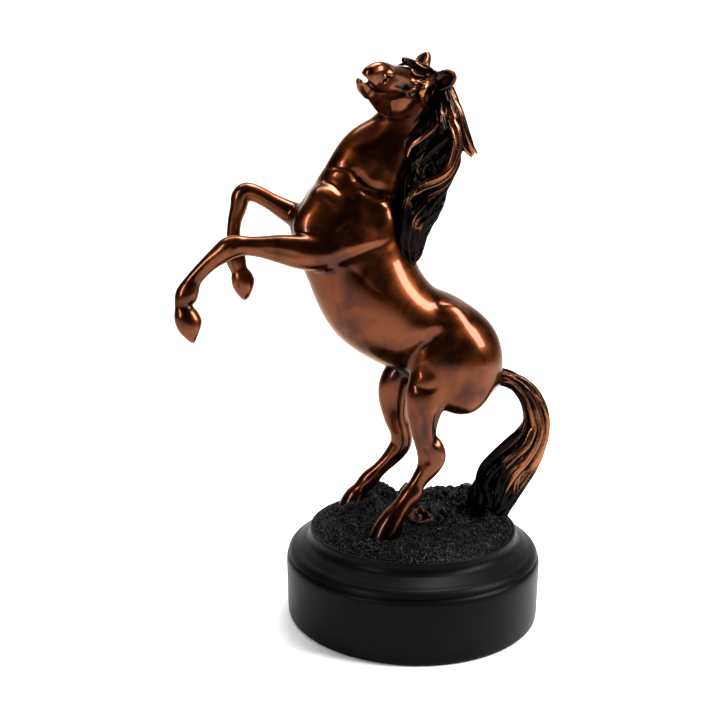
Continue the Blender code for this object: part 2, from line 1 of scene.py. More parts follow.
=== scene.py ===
"""Looks of the rearing horse statue: the cast horse, its hair, the rough ground and the turned plinth.

The horse is sculpted as a distance field, block by block, and each block's zero surface becomes a mesh.
Lengths in the tables are millimetres in the row frame: +Z up, the horse faces -X, its near side is -Y.
"""

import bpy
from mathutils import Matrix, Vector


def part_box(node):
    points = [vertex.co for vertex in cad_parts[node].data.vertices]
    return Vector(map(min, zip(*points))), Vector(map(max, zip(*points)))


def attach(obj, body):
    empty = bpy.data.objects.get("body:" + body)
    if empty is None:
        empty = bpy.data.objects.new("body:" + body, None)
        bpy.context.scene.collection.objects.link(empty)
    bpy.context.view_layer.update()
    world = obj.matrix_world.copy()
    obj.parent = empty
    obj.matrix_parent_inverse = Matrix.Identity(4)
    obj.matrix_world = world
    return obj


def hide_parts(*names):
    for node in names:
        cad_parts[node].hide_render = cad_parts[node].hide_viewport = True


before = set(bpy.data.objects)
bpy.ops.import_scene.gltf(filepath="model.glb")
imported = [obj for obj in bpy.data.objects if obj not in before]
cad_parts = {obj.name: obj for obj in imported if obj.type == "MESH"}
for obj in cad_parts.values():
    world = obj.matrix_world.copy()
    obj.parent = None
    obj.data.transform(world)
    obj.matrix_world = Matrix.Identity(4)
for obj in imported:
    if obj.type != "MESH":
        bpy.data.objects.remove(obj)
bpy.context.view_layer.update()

import math

import bpy
import numpy as np
from mathutils import Matrix, Vector

MM = 0.001
# What a field holds, in millimetres, where no shape has reached
FAR = 9.0
RELAX_ROUNDS = 2

# ---------------------------------------------------------------- body stations
# x, y, z, half depth fore and aft, half width across
BARREL = (
    (29.8, 0.0, 123.4, 13.6, 15.6), (21.8, 0.0, 131.0, 21.8, 20.0), (11.0, 0.0, 139.7, 21.8, 20.4),
    (1.0, 0.0, 143.8, 22.0, 20.6), (-8.6, 0.0, 149.0, 23.4, 21.4), (-19.0, 0.0, 158.6, 25.4, 22.2),
    (-26.0, 0.0, 171.9, 25.4, 21.2), (-32.8, 0.0, 184.5, 22.6, 18.5),
)
NECK = (
    (-35.2, 0.0, 184.5, 22.2, 16.5), (-30.2, 0.0, 198.0, 22.8, 15.4), (-23.6, 0.0, 209.7, 22.6, 13.4),
    (-17.2, -0.3, 222.2, 21.0, 12.1), (-11.2, -1.2, 231.5, 16.2, 11.2), (-7.2, -2.8, 239.5, 12.9, 10.2),
    (-4.0, -5.0, 247.0, 11.0, 9.0), (-1.0, -6.5, 253.0, 9.0, 8.0),
)
NEAR_FORELEG = (
    (-41.5, -14.0, 182.5, 8.6, 6.4), (-48.5, -15.2, 182.0, 8.4, 7.0), (-56.0, -15.8, 182.4, 7.8, 6.6),
    (-65.3, -15.0, 183.9, 6.5, 5.8), (-73.3, -14.0, 184.8, 5.0, 4.7), (-80.3, -13.2, 185.3, 4.4, 4.3),
    (-84.7, -12.8, 185.3, 5.0, 4.8), (-88.6, -12.6, 184.2, 5.2, 4.9), (-91.8, -12.3, 181.9, 4.7, 4.4),
    (-95.8, -12.0, 178.9, 4.0, 3.7), (-100.6, -12.0, 174.5, 3.6, 3.2), (-104.7, -12.0, 169.7, 3.8, 3.2),
    (-107.7, -12.0, 163.6, 5.2, 4.4), (-109.4, -12.0, 158.2, 4.0, 3.7), (-109.2, -12.0, 154.2, 4.4, 4.2),
)
NEAR_FORE_HOOF = (
    (-109.2, -12.0, 155.8, 3.9, 3.8), (-108.3, -12.0, 153.6, 5.6, 5.0), (-107.0, -12.0, 150.2, 6.0, 5.3),
    (-106.0, -12.0, 147.0, 4.7, 4.6), (-105.6, -12.0, 144.2, 2.6, 3.2),
)
FAR_FORELEG = (
    (-43.5, 12.4, 192.8, 7.0, 6.0), (-51.5, 13.0, 195.9, 6.6, 6.2), (-60.0, 13.8, 200.3, 5.3, 5.3),
    (-67.0, 14.0, 204.3, 4.3, 4.3), (-73.8, 14.0, 208.0, 4.2, 4.1), (-79.0, 14.0, 209.3, 4.5, 4.5),
    (-82.0, 14.0, 207.0, 4.5, 4.6), (-83.0, 14.0, 202.2, 4.1, 4.2), (-84.8, 14.0, 196.4, 3.5, 3.4),
    (-85.7, 14.0, 190.6, 3.3, 3.1), (-85.9, 14.0, 184.6, 3.5, 3.1), (-85.0, 14.0, 177.6, 4.9, 4.1),
    (-83.6, 14.0, 172.4, 4.0, 3.8), (-82.6, 14.0, 169.4, 4.2, 4.0),
)
FAR_FORE_HOOF = (
    (-82.8, 14.0, 170.8, 3.7, 3.6), (-82.2, 14.0, 168.6, 5.3, 4.8), (-81.4, 14.0, 165.2, 5.5, 4.9),
    (-81.2, 14.0, 162.4, 4.0, 4.1), (-81.2, 14.0, 160.0, 2.0, 2.8),
)
NEAR_HIND_LEG = (
    (11.0, -11.5, 122.5, 9.6, 7.4), (4.8, -12.8, 116.5, 10.8, 8.2), (2.4, -13.6, 107.6, 9.0, 7.4),
    (2.0, -14.0, 98.6, 6.8, 6.0), (3.3, -14.0, 91.6, 6.0, 5.1), (5.6, -14.0, 86.6, 6.9, 5.1),
    (6.2, -14.0, 82.4, 7.0, 5.0), (4.1, -14.2, 77.2, 5.4, 4.6), (1.0, -14.4, 73.0, 4.3, 4.0),
    (-1.6, -14.8, 69.0, 4.1, 3.8), (-4.1, -15.2, 64.6, 5.2, 4.6), (-7.8, -16.1, 60.4, 4.6, 4.2),
    (-11.2, -16.8, 56.6, 4.8, 4.7),
)
NEAR_HIND_HOOF = (
    (-11.4, -16.8, 57.2, 3.6, 3.8), (-12.6, -17.0, 55.0, 5.3, 5.3), (-14.6, -17.5, 51.6, 6.2, 6.0),
    (-16.6, -17.9, 47.4, 7.2, 6.8), (-18.0, -18.2, 43.0, 7.8, 7.2),
)
FAR_HIND_LEG = (
    (0.5, 12.5, 123.5, 9.4, 7.4), (-5.0, 13.6, 116.0, 9.2, 7.8), (-6.7, 14.8, 107.6, 8.5, 7.2),
    (-5.6, 16.0, 96.6, 6.6, 5.7), (-3.4, 16.5, 89.0, 5.6, 5.0), (-2.6, 16.9, 82.6, 5.6, 4.8),
    (-5.0, 17.2, 77.8, 5.2, 4.6), (-9.4, 17.6, 72.6, 4.3, 3.9), (-14.4, 18.0, 67.6, 3.9, 3.6),
    (-19.0, 18.8, 62.6, 4.9, 4.4), (-22.8, 19.4, 58.0, 4.4, 4.1), (-25.0, 19.8, 55.2, 4.6, 4.5),
)
FAR_HIND_HOOF = (
    (-25.0, 19.7, 56.2, 3.6, 3.8), (-26.2, 19.9, 53.8, 5.2, 5.2), (-27.8, 20.0, 50.0, 6.2, 6.0),
    (-29.4, 20.0, 44.4, 7.0, 6.6),
)
# Muscles on both flanks: centre, half sizes, lean about the cross axis in degrees, blend
MUSCLES = (
    ((17.8, 10.0, 125.6), (17.8, 12.0, 18.2), 38.0, 6.0),
    ((18.2, 11.2, 112.4), (11.6, 8.6, 8.2), 30.0, 7.0),
    ((25.2, 9.5, 115.8), (9.8, 9.0, 9.8), 0.0, 6.0),
    ((6.6, 12.4, 126.5), (10.0, 8.2, 14.0), 20.0, 4.0),
    ((14.2, 12.4, 150.0), (5.0, 2.2, 5.0), 0.0, 7.0),
    ((-32.0, 9.3, 190.0), (23.4, 11.3, 17.5), 24.0, 5.0),
    ((-19.0, 10.4, 198.0), (7.4, 6.2, 11.0), -18.0, 5.0),
    ((-31.5, 14.2, 186.5), (10.0, 6.0, 5.6), -14.0, 4.0),
    ((-44.4, 7.2, 201.0), (7.4, 8.2, 11.0), -14.0, 5.0),
    ((-49.6, 8.0, 193.0), (9.4, 8.4, 10.5), -12.0, 5.0),
)
# Folds and grooves, drawn in side view: side (-1 near, 1 far, 0 both), depth, half width, then x, z points
FOLDS = (
    (0, 2.3, 3.2, (
        (-31.6, 221.0), (-30.0, 216.6), (-26.8, 212.9), (-22.9, 210.4), (-18.6, 209.0), (-14.0, 208.6),
    )),
    (0, -1.2, 2.8, ((-29.4, 210.4), (-25.4, 206.8), (-20.6, 204.6), (-15.0, 203.6))),
    (0, 0.5, 4.0, ((-24.0, 219.6), (-19.0, 216.0), (-14.0, 214.0))),
    (0, 0.55, 1.1, ((-43.9, 219.6), (-40.6, 220.8), (-37.6, 220.5), (-33.4, 219.2), (-30.3, 217.8))),
    (0, -0.45, 1.1, ((-43.0, 217.6), (-38.6, 218.4), (-34.6, 217.4), (-32.4, 215.4))),
    (0, 0.42, 0.9, ((-46.6, 212.6), (-43.2, 213.4), (-40.4, 212.4), (-38.6, 209.8), (-36.6, 208.8))),
    (0, -0.3, 0.8, ((-45.0, 209.6), (-41.6, 210.2), (-39.6, 207.6), (-37.2, 206.4))),
    (0, 0.4, 0.9, ((-47.6, 206.4), (-44.6, 206.4), (-42.2, 204.6), (-39.6, 204.2))),
    (0, 0.5, 3.2, ((-40.0, 199.0), (-37.4, 203.0), (-33.0, 206.0))),
    (0, 1.1, 1.9, (
        (-47.6, 175.8), (-40.4, 177.9), (-33.7, 180.4), (-26.3, 183.0), (-19.8, 184.9), (-14.0, 187.6),
    )),
    (0, -0.3, 2.4, ((-38.0, 183.0), (-32.0, 185.2), (-25.0, 187.4))),
    (0, 0.7, 1.4, ((-42.4, 174.6), (-41.0, 173.2))),
    (0, 0.5, 2.4, ((-42.0, 190.0), (-37.0, 192.4), (-33.4, 197.0))),
    (0, 0.24, 1.2, ((-35.8, 176.4), (-31.4, 173.0), (-27.0, 168.6), (-22.5, 164.2), (-18.8, 161.4))),
    (0, 1.8, 3.6, ((11.4, 146.8), (7.2, 143.9), (3.4, 141.0), (-1.2, 138.0), (-4.8, 133.4), (-6.6, 127.0))),
    (0, 0.7, 1.5, ((4.2, 141.5), (1.0, 139.0), (-2.4, 135.8), (-5.0, 131.6), (-6.6, 127.0))),
    (-1, 0.6, 1.1, ((-3.6, 119.4), (0.0, 118.2), (3.6, 118.2), (7.0, 119.6))),
    (-1, -0.2, 2.6, ((-2.6, 123.4), (2.4, 122.6), (6.4, 123.6))),
    (-1, 0.3, 2.8, ((-0.4, 131.0), (2.2, 127.4), (2.0, 123.4))),
    (0, 0.5, 5.0, ((17.4, 141.0), (18.4, 136.0), (18.4, 126.0), (15.6, 115.0), (11.0, 108.0))),
    (-1, 1.1, 1.1, ((8.6, 111.0), (6.9, 105.0), (6.4, 98.6), (7.4, 92.6), (9.0, 89.4))),
    (-1, 0.6, 1.4, ((-1.4, 112.0), (0.6, 106.0), (1.4, 99.0), (1.6, 92.0))),
    (-1, 0.45, 0.8, ((6.4, 80.6), (2.6, 75.0), (0.0, 71.0), (-2.0, 67.4))),
    (-1, 0.7, 1.0, ((1.0, 88.6), (3.6, 84.6), (3.2, 80.0))),
    (1, 0.9, 1.0, ((1.0, 110.0), (-0.6, 103.0), (-0.6, 97.0), (1.0, 91.0))),
    (1, 0.45, 0.8, ((-4.6, 77.0), (-10.4, 71.0), (-16.0, 65.6))),
    (-1, 0.45, 0.8, ((-93.8, 179.0), (-99.6, 173.6), (-104.6, 167.6))),
    (-1, 0.9, 1.2, ((-104.6, 160.2), (-106.6, 158.4), (-108.6, 158.2))),
    (-1, 0.5, 1.4, ((-56.0, 180.6), (-66.0, 182.8), (-75.0, 184.0))),
    (-1, 0.5, 1.0, ((-84.4, 188.0), (-87.0, 185.0), (-87.8, 181.6))),
    (1, 0.45, 0.8, ((-84.0, 194.0), (-85.2, 188.0), (-85.4, 181.0))),
    (0, 0.5, 2.6, ((-13.7, 236.6), (-17.3, 227.7), (-22.0, 219.7), (-25.0, 215.0))),
    (0, -0.35, 2.6, ((-8.6, 232.0), (-11.2, 223.0), (-14.0, 214.0))),
)

# ---------------------------------------------------------------- head, in head lengths, in its own frame
POLL = Vector((5.5, -7.0, 262.0))
HEAD_LENGTH = 48.0
HEAD_TURN = 228.0
HEAD_LIFT = -1.0
HEAD_ROLL = -38.0
FACE = (
    (-0.03, 0.0, -0.13, 0.09, 0.1), (0.06, 0.0, -0.13, 0.135, 0.13), (0.18, 0.0, -0.145, 0.165, 0.15),
    (0.32, 0.0, -0.155, 0.175, 0.15), (0.44, 0.0, -0.15, 0.165, 0.135), (0.58, 0.0, -0.135, 0.152, 0.112),
    (0.72, 0.0, -0.118, 0.138, 0.098), (0.84, 0.0, -0.102, 0.134, 0.094), (0.92, 0.0, -0.098, 0.122, 0.09),
    (0.99, 0.0, -0.108, 0.092, 0.076),
)
JAW = (
    (0.27, 0.0, -0.37, 0.12, 0.1), (0.38, 0.0, -0.372, 0.115, 0.096), (0.5, 0.0, -0.36, 0.105, 0.086),
    (0.62, 0.0, -0.33, 0.088, 0.072), (0.76, 0.0, -0.292, 0.068, 0.064), (0.88, 0.0, -0.262, 0.06, 0.064),
    (0.98, 0.0, -0.228, 0.058, 0.064), (1.06, 0.0, -0.188, 0.038, 0.05),
)
EAR = (
    (0.1, 0.08, -0.1, 0.045, 0.05), (0.09, 0.12, -0.035, 0.052, 0.074), (0.085, 0.16, 0.025, 0.05, 0.094),
    (0.085, 0.198, 0.072, 0.044, 0.092), (0.09, 0.226, 0.11, 0.034, 0.066),
    (0.095, 0.244, 0.136, 0.014, 0.026),
)
EAR_CUP = (
    (0.125, 0.135, -0.05, 0.018, 0.022), (0.127, 0.16, 0.0, 0.036, 0.052),
    (0.124, 0.188, 0.045, 0.04, 0.068), (0.122, 0.212, 0.083, 0.034, 0.058),
    (0.12, 0.232, 0.112, 0.018, 0.032),
)
FAR_EAR = (
    (0.09, 0.07, -0.1, 0.045, 0.05), (0.05, 0.105, -0.035, 0.05, 0.068), (0.01, 0.145, 0.012, 0.048, 0.08),
    (-0.04, 0.18, 0.05, 0.04, 0.068), (-0.09, 0.205, 0.086, 0.022, 0.038),
    (-0.11, 0.215, 0.102, 0.01, 0.012),
)
FAR_EAR_CUP = (
    (0.095, 0.12, -0.05, 0.018, 0.022), (0.068, 0.145, -0.005, 0.034, 0.048),
    (0.028, 0.17, 0.026, 0.036, 0.054), (-0.02, 0.195, 0.064, 0.026, 0.038),
    (-0.06, 0.211, 0.086, 0.012, 0.016),
)
MOUTH = (
    (0.8, 0.0, -0.21, 0.008, 0.13), (0.86, 0.0, -0.203, 0.015, 0.13), (0.94, 0.0, -0.184, 0.017, 0.13),
    (1.02, 0.0, -0.156, 0.018, 0.13), (1.14, 0.0, -0.116, 0.022, 0.13),
)
# Centre, half sizes, lean, blend
NOSTRILS = (
    ((0.862, 0.106, -0.080), (0.044, 0.072, 0.040), 20.0, 0.008),
    ((0.850, -0.058, -0.014), (0.045, 0.045, 0.050), 20.0, 0.008),
)
EARS = {1: (EAR, EAR_CUP), -1: (FAR_EAR, FAR_EAR_CUP)}
CHEEK = ((0.31, 0.075, -0.27), (0.175, 0.088, 0.195), -12.0, 0.05)
# Head blobs: centre, half sizes, lean, blend; all mirrored across the face, like the cheek
HEAD_BLOBS = (
    ((0.40, 0.115, -0.085), (0.085, 0.045, 0.055), 0.0, 0.04),
    ((0.55, 0.085, -0.150), (0.14, 0.03, 0.028), -4.0, 0.035),
    ((0.860, 0.068, -0.084), (0.058, 0.042, 0.052), 10.0, 0.03),
    ((0.812, 0.064, -0.036), (0.056, 0.046, 0.042), 0.0, 0.03),
    ((0.96, 0.030, -0.135), (0.055, 0.056, 0.050), 0.0, 0.03),
    ((0.958, 0.046, -0.082), (0.034, 0.038, 0.032), 0.0, 0.008),
    ((0.904, 0.082, -0.060), (0.028, 0.030, 0.022), 0.0, 0.008),
    ((0.88, 0.02, -0.270), (0.06, 0.045, 0.044), 0.0, 0.03),
)


# Hollows beside the nose, above the eye, under the cheekbone and around the eye, likewise
HEAD_HOLLOWS = (
    ((0.68, 0.165, -0.095), (0.17, 0.055, 0.045), 0.0, 0.10),
    ((0.30, 0.170, -0.045), (0.055, 0.035, 0.026), 0.0, 0.04),
    ((0.58, 0.165, -0.250), (0.12, 0.055, 0.040), 0.0, 0.08),
    ((0.455, 0.162, -0.132), (0.066, 0.034, 0.044), 0.0, 0.016),
)
# What fills the middle of the mouth's cut, and the eyeball, likewise
MOUTH_FILL = ((0.87, 0.0, -0.200), (0.110, 0.030, 0.05), 0.0, 0.2 / HEAD_LENGTH)
EYE = ((0.450, 0.122, -0.132), (0.038, 0.038, 0.038), 0.0, 0.1 / HEAD_LENGTH)
UPPER_LID = (
    (0.52, 0.134, -0.146, 0.01, 0.01), (0.49, 0.152, -0.108, 0.014, 0.014),
    (0.447, 0.16, -0.092, 0.016, 0.016), (0.402, 0.152, -0.108, 0.014, 0.014),
    (0.378, 0.14, -0.14, 0.01, 0.01),
)
LOWER_LID = (
    (0.52, 0.134, -0.148, 0.009, 0.009), (0.48, 0.15, -0.174, 0.011, 0.011),
    (0.425, 0.152, -0.177, 0.011, 0.011), (0.378, 0.14, -0.146, 0.009, 0.009),
)


# Patina left on the copper in its hollows, and painted shade: darkness painted into the nostrils and the
# mouth, around the eyes, in the ears and under the jaw; centre, half sizes, strength
HEAD_PATINA_AND_SHADE = (
    ((0.53, 0.14, -0.125), (0.12, 0.08, 0.070), 0.50),
    ((0.50, -0.13, -0.115), (0.11, 0.08, 0.060), 0.42),
    ((0.24, 0.16, -0.22), (0.09, 0.08, 0.10), 0.30),
    ((0.24, -0.16, -0.22), (0.09, 0.08, 0.10), 0.30),
    ((0.09, 0.18, 0.03), (0.14, 0.18, 0.18), 0.95),
    ((0.00, -0.18, 0.03), (0.14, 0.14, 0.14), 0.55),
    ((0.92, 0.0, -0.19), (0.16, 0.14, 0.022), 0.75),
    ((0.862, 0.106, -0.082), (0.044, 0.05, 0.034), 0.95),
    ((0.850, -0.058, -0.020), (0.042, 0.04, 0.04), 0.95),
    ((0.45, 0.145, -0.132), (0.085, 0.06, 0.070), 0.80),
    ((0.45, -0.145, -0.132), (0.075, 0.05, 0.055), 0.65),
    ((0.42, 0.06, -0.475), (0.22, 0.16, 0.045), 0.55),
    ((0.94, 0.0, -0.06), (0.11, 0.16, 0.09), 0.42),
)
# Likewise for the body: painted shade under the jaw, between and under the legs, under the haunch, and on the
# neck and haunch where they face away from the lamps, with darker hooves
BODY_PATINA_AND_SHADE = (
    ((-11.0, 0.0, 122.0), (10.0, 16.0, 9.0), 0.45),
    ((-2.0, 2.0, 110.0), (7.0, 9.0, 16.0), 0.35),
    ((-20.0, -9.0, 242.8), (4.0, 7.0, 1.0), 0.55),
    ((-15.0, -10.0, 241.4), (4.5, 7.0, 1.0), 0.60),
    ((-9.0, -10.0, 242.8), (4.5, 7.0, 1.2), 0.60),
    ((-2.0, -10.0, 243.0), (5.0, 10.0, 5.0), 0.35),
    ((-57.0, -12.0, 188.0), (7.0, 7.0, 5.0), 0.22),
    ((-44.0, -19.0, 174.0), (5.0, 6.0, 3.0), 0.30),
    ((-18.0, -18.0, 46.0), (12.0, 12.0, 6.5), 0.95),
    ((-29.0, 20.0, 47.0), (12.0, 12.0, 8.0), 0.80),
    ((3.0, 17.0, 78.0), (7.0, 6.0, 9.0), 0.30),
    ((9.0, -12.0, 84.0), (4.0, 5.0, 6.0), 0.22),
    ((1.0, -14.0, 97.0), (8.0, 9.0, 13.0), 0.46),
    ((16.0, -20.0, 113.0), (5.0, 7.0, 3.0), 0.22),
    ((-2.0, -13.0, 74.0), (6.0, 8.0, 10.0), 0.34),
    ((12.0, -25.0, 132.0), (9.0, 9.0, 11.0), 0.34),
    ((-12.0, -12.0, 226.0), (9.0, 8.0, 12.0), 0.26),
    ((-104.0, -12.0, 159.0), (4.0, 6.0, 4.0), 0.28),
    ((-106.5, -12.0, 147.0), (6.0, 7.0, 7.0), 0.10),
)


def shade_near(points, table):
    """How much each point is darkened by a table of soft ellipsoids; on the copper that is patina and painted
    shade.
    """
    made = np.zeros(len(points))
    for centre, size, strength in table:
        gap = (((points - np.array(centre)) / np.array(size)) ** 2).sum(1)
        made = np.maximum(made, strength * np.exp(-gap))
    return made


def refine(stations, steps):
    """Stations with smooth Catmull-Rom ones put in between."""
    rows = np.array(stations, float)
    before = np.vstack([rows[:1], rows[:-2]])
    start, end = rows[:-1], rows[1:]
    after = np.vstack([rows[2:], rows[-1:]])
    made = []
    for step in range(steps):
        s = step / steps
        square = 2 * before - 5 * start + 4 * end - after
        cube = 3 * start - before - 3 * end + after
        made.append(0.5 * (2 * start + (end - before) * s + square * s ** 2 + cube * s ** 3))
    fine = np.stack(made, 1).reshape(-1, rows.shape[1])
    return np.vstack([fine, rows[-1:]])


def unit(v):
    return v / np.maximum(np.linalg.norm(v, axis=-1, keepdims=True), 1e-9)


class Field:
    """A block of space that holds the distance to a surface, in millimetres, negative inside."""

    def __init__(self, low, high, cell):
        self.cell = cell
        self.low = np.array(low, float)
        self.count = np.ceil((np.array(high) - self.low) / cell).astype(int) + 1
        self.value = np.full(self.count, FAR, np.float32)

    def block(self, low, high):
        start = np.clip(np.floor((np.asarray(low) - self.low) / self.cell).astype(int), 0, self.count)
        stop = np.clip(np.ceil((np.asarray(high) - self.low) / self.cell).astype(int) + 1, 0, self.count)
        stop = np.maximum(stop, start)
        cut = tuple(slice(a, b) for a, b in zip(start, stop))
        axes = [(self.low[i] + self.cell * np.arange(start[i], stop[i])).astype(np.float32) for i in range(3)]
        return cut, axes[0][:, None, None], axes[1][None, :, None], axes[2][None, None, :]

    def join(self, cut, distance, blend):
        there = self.value[cut]
        if blend > 0:
            share = np.clip(0.5 + 0.5 * (there - distance) / blend, 0, 1)
            self.value[cut] = there + (distance - there) * share - blend * share * (1 - share)
        else:
            self.value[cut] = np.minimum(there, distance)

    def carve(self, cut, distance, blend):
        there = self.value[cut]
        inverse = -distance
        share = np.clip(0.5 - 0.5 * (there - inverse) / blend, 0, 1)
        self.value[cut] = there + (inverse - there) * share + blend * share * (1 - share)

    def sweep(self, rows, blend, carve=False):
        """A smooth tube through rows of x, y, z, half depth, half width and, for hair, an outward side."""
        points = rows[:, :3]
        along = unit(np.gradient(points, axis=0))
        if rows.shape[1] > 5:
            outward = rows[:, 5:8]
            across = unit(np.cross(outward, along))
        else:
            across = unit(np.array([0.0, 1.0, 0.0]) - along * along[:, 1:2])
        up = np.cross(across, along)
        reach = rows[:, 3:5].max(1) + blend + 1.6 * self.cell + 0.4
        margin = reach.max() + self.cell
        whole, _, _, _ = self.block(points.min(0) - margin, points.max(0) + margin)
        corner = np.array([s.start for s in whole])
        made = np.full([s.stop - s.start for s in whole], FAR, np.float32)
        for i in range(len(rows) - 1):
            a, b = points[i], points[i + 1]
            r = max(reach[i], reach[i + 1])
            cut, x, y, z = self.block(np.minimum(a, b) - r, np.maximum(a, b) + r)
            if 0 in (x.size, y.size, z.size):
                continue
            d = b - a
            length = float(d @ d) + 1e-9
            x, y, z = x - a[0], y - a[1], z - a[2]
            t = np.clip((x * d[0] + y * d[1] + z * d[2]) / length, 0, 1).astype(np.float32)
            qx, qy, qz = x - t * d[0], y - t * d[1], z - t * d[2]
            du = up[i + 1] - up[i]
            u = qx * (up[i, 0] + t * du[0]) + qy * (up[i, 1] + t * du[1]) + qz * (up[i, 2] + t * du[2])
            rest = np.maximum(qx * qx + qy * qy + qz * qz - u * u, 0)
            depth = rows[i, 3] + t * (rows[i + 1, 3] - rows[i, 3])
            width = rows[i, 4] + t * (rows[i + 1, 4] - rows[i, 4])
            k0 = np.sqrt((u / depth) ** 2 + rest / width ** 2)
            k1 = np.sqrt((u / depth ** 2) ** 2 + rest / width ** 4)
            distance = k0 * (k0 - 1) / np.maximum(k1, 1e-4)
            inside = tuple(slice(c.start - o, c.stop - o) for c, o in zip(cut, corner))
            made[inside] = np.minimum(made[inside], distance.astype(np.float32))
        if carve:
            self.carve(whole, made, blend)
        else:
            self.join(whole, made, blend)

    def blob(self, centre, size, turn, blend, carve=False):
        """An ellipsoid with its axes turned by a 3x3 matrix."""
        centre, size = np.array(centre, float), np.array(size, float)
        r = size.max() + blend + 2 * self.cell
        cut, x, y, z = self.block(centre - r, centre + r)
        x, y, z = x - centre[0], y - centre[1], z - centre[2]
        k0 = 0
        k1 = 0
        for axis in range(3):
            local = x * turn[0, axis] + y * turn[1, axis] + z * turn[2, axis]
            k0 = k0 + (local / size[axis]) ** 2
            k1 = k1 + (local / size[axis] ** 2) ** 2
        k0, k1 = np.sqrt(k0), np.sqrt(k1)
        distance = (k0 * (k0 - 1) / np.maximum(k1, 1e-4)).astype(np.float32)
        (self.carve if carve else self.join)(cut, distance, blend)

    def fold(self, side, depth, width, line):
        """Pushes the surface in along a line that is drawn in side view."""
        line = np.array(line, float)
        if len(line) > 2:
            line = refine(line, 4)
        left, bottom = line.min(0) - 3 * width
        right, top = line.max(0) + 3 * width
        far = self.low[1] + self.cell * self.count[1]
        cut, x, y, z = self.block((left, self.low[1], bottom), (right, far, top))
        nearest = np.full((x.shape[0], 1, z.shape[2]), 1e9, np.float32)
        place = np.zeros_like(nearest)
        for index, (a, b) in enumerate(zip(line[:-1], line[1:])):
            d = b - a
            t = np.clip(((x - a[0]) * d[0] + (z - a[1]) * d[1]) / (d @ d + 1e-9), 0, 1)
            gap = (x - a[0] - t * d[0]) ** 2 + (z - a[1] - t * d[1]) ** 2
            closer = gap < nearest
            place = np.where(closer, (index + t) / (len(line) - 1), place)
            nearest = np.where(closer, gap, nearest)
        fade = np.clip(4.0 * np.minimum(place, 1 - place), 0.12, 1.0)
        push = depth * fade * np.exp(-nearest / width ** 2)
        if side:
            push = push * np.clip(side * y / 4.0, 0, 1)
        self.value[cut] += push.astype(np.float32)

    def soften(self, rounds):
        for _ in range(rounds):
            self.value = soften(self.value)

    def sample(self, points, values=None):
        values = self.value if values is None else values
        place = (points - self.low) / self.cell
        base = np.clip(np.floor(place).astype(int), 0, np.array(values.shape) - 2)
        f = np.clip(place - base, 0, 1)
        total = 0
        for dx in (0, 1):
            for dy in (0, 1):
                for dz in (0, 1):
                    weight = np.abs(np.array((1 - dx, 1 - dy, 1 - dz)) - f).prod(1)
                    total = total + weight * values[base[:, 0] + dx, base[:, 1] + dy, base[:, 2] + dz]
        return total

    def gradient(self, points):
        made = []
        for axis in range(3):
            step = np.zeros(3)
            step[axis] = self.cell
            made.append(self.sample(points + step) - self.sample(points - step))
        return np.stack(made, 1) / (2 * self.cell)

    def settle(self, points, rounds=3):
        """Moves points on to the zero surface."""
        for _ in range(rounds):
            slope = self.gradient(points)
            size = np.maximum((slope ** 2).sum(1), 0.05)
            push = np.clip(self.sample(points) / size, -self.cell, self.cell)
            points = points - slope * push[:, None]
        return points

    def relief(self, points, reach):
        """How proud (positive) or sunken (negative) each point is, measured over a reach in millimetres."""
        wide = self.value.clip(-2 * reach, 2 * reach)
        for _ in range(max(1, int(2 * (reach / self.cell) ** 2))):
            wide = soften(wide)
        return self.sample(points, wide) / reach

    def surface(self):
        """The zero surface as quads, one vertex in every cell that it crosses."""
        v = self.value
        inside = v < 0
        size = np.array(v.shape) - 1
        total = np.zeros(size, np.uint8)
        corners = [(a, b, c) for a in (0, 1) for b in (0, 1) for c in (0, 1)]
        for a, b, c in corners:
            total += inside[a:a + size[0], b:b + size[1], c:c + size[2]]
        cells = np.argwhere((total > 0) & (total < 8))
        index = np.full(size, -1, np.int32)
        index[tuple(cells.T)] = np.arange(len(cells))
        sums = np.zeros((len(cells), 3))
        hits = np.zeros(len(cells))
        for a in corners:
            for axis in range(3):
                if a[axis]:
                    continue
                b = list(a)
                b[axis] = 1
                va = v[cells[:, 0] + a[0], cells[:, 1] + a[1], cells[:, 2] + a[2]]
                vb = v[cells[:, 0] + b[0], cells[:, 1] + b[1], cells[:, 2] + b[2]]
                hit = (va < 0) != (vb < 0)
                t = np.where(hit, va / np.where(hit, va - vb, 1), 0)
                spot = np.tile(np.array(a, float), (len(cells), 1))
                spot[:, axis] += t
                sums += spot * hit[:, None]
                hits += hit
        points = self.low + self.cell * (cells + sums / hits[:, None])
        quads = []
        for axis in range(3):
            one, two = (axis + 1) % 3, (axis + 2) % 3
            first = [slice(1, s) for s in size]
            second = list(first)
            first[axis], second[axis] = slice(0, size[axis]), slice(1, size[axis] + 1)
            lower, upper = inside[tuple(first)], inside[tuple(second)]
            edges = np.argwhere(lower != upper)
            flip = lower[tuple(edges.T)]
            home = edges + 1
            home[:, axis] -= 1
            ring = []
            for s, t in ((1, 1), (0, 1), (0, 0), (1, 0)):
                spot = home.copy()
                spot[:, one] -= s
                spot[:, two] -= t
                ring.append(index[tuple(spot.T)])
            quad = np.stack(ring, 1)
            quad[~flip] = quad[~flip][:, ::-1]
            quads.append(quad)
        quads = np.vstack(quads)
        return self.settle(self.relax(points, quads)), quads

    def relax(self, points, quads):
        """Evens out the quads and puts the points back on the surface."""
        start, end = quads.ravel(), np.roll(quads, -1, 1).ravel()
        for _ in range(RELAX_ROUNDS):
            hits = np.bincount(start, minlength=len(points)).astype(float)
            middle = np.stack([np.bincount(start, points[end, i], len(points)) for i in range(3)], 1)
            moved = 0.5 * points + 0.5 * middle / np.maximum(hits, 1)[:, None]
            points = self.settle(moved, 2)
        return points


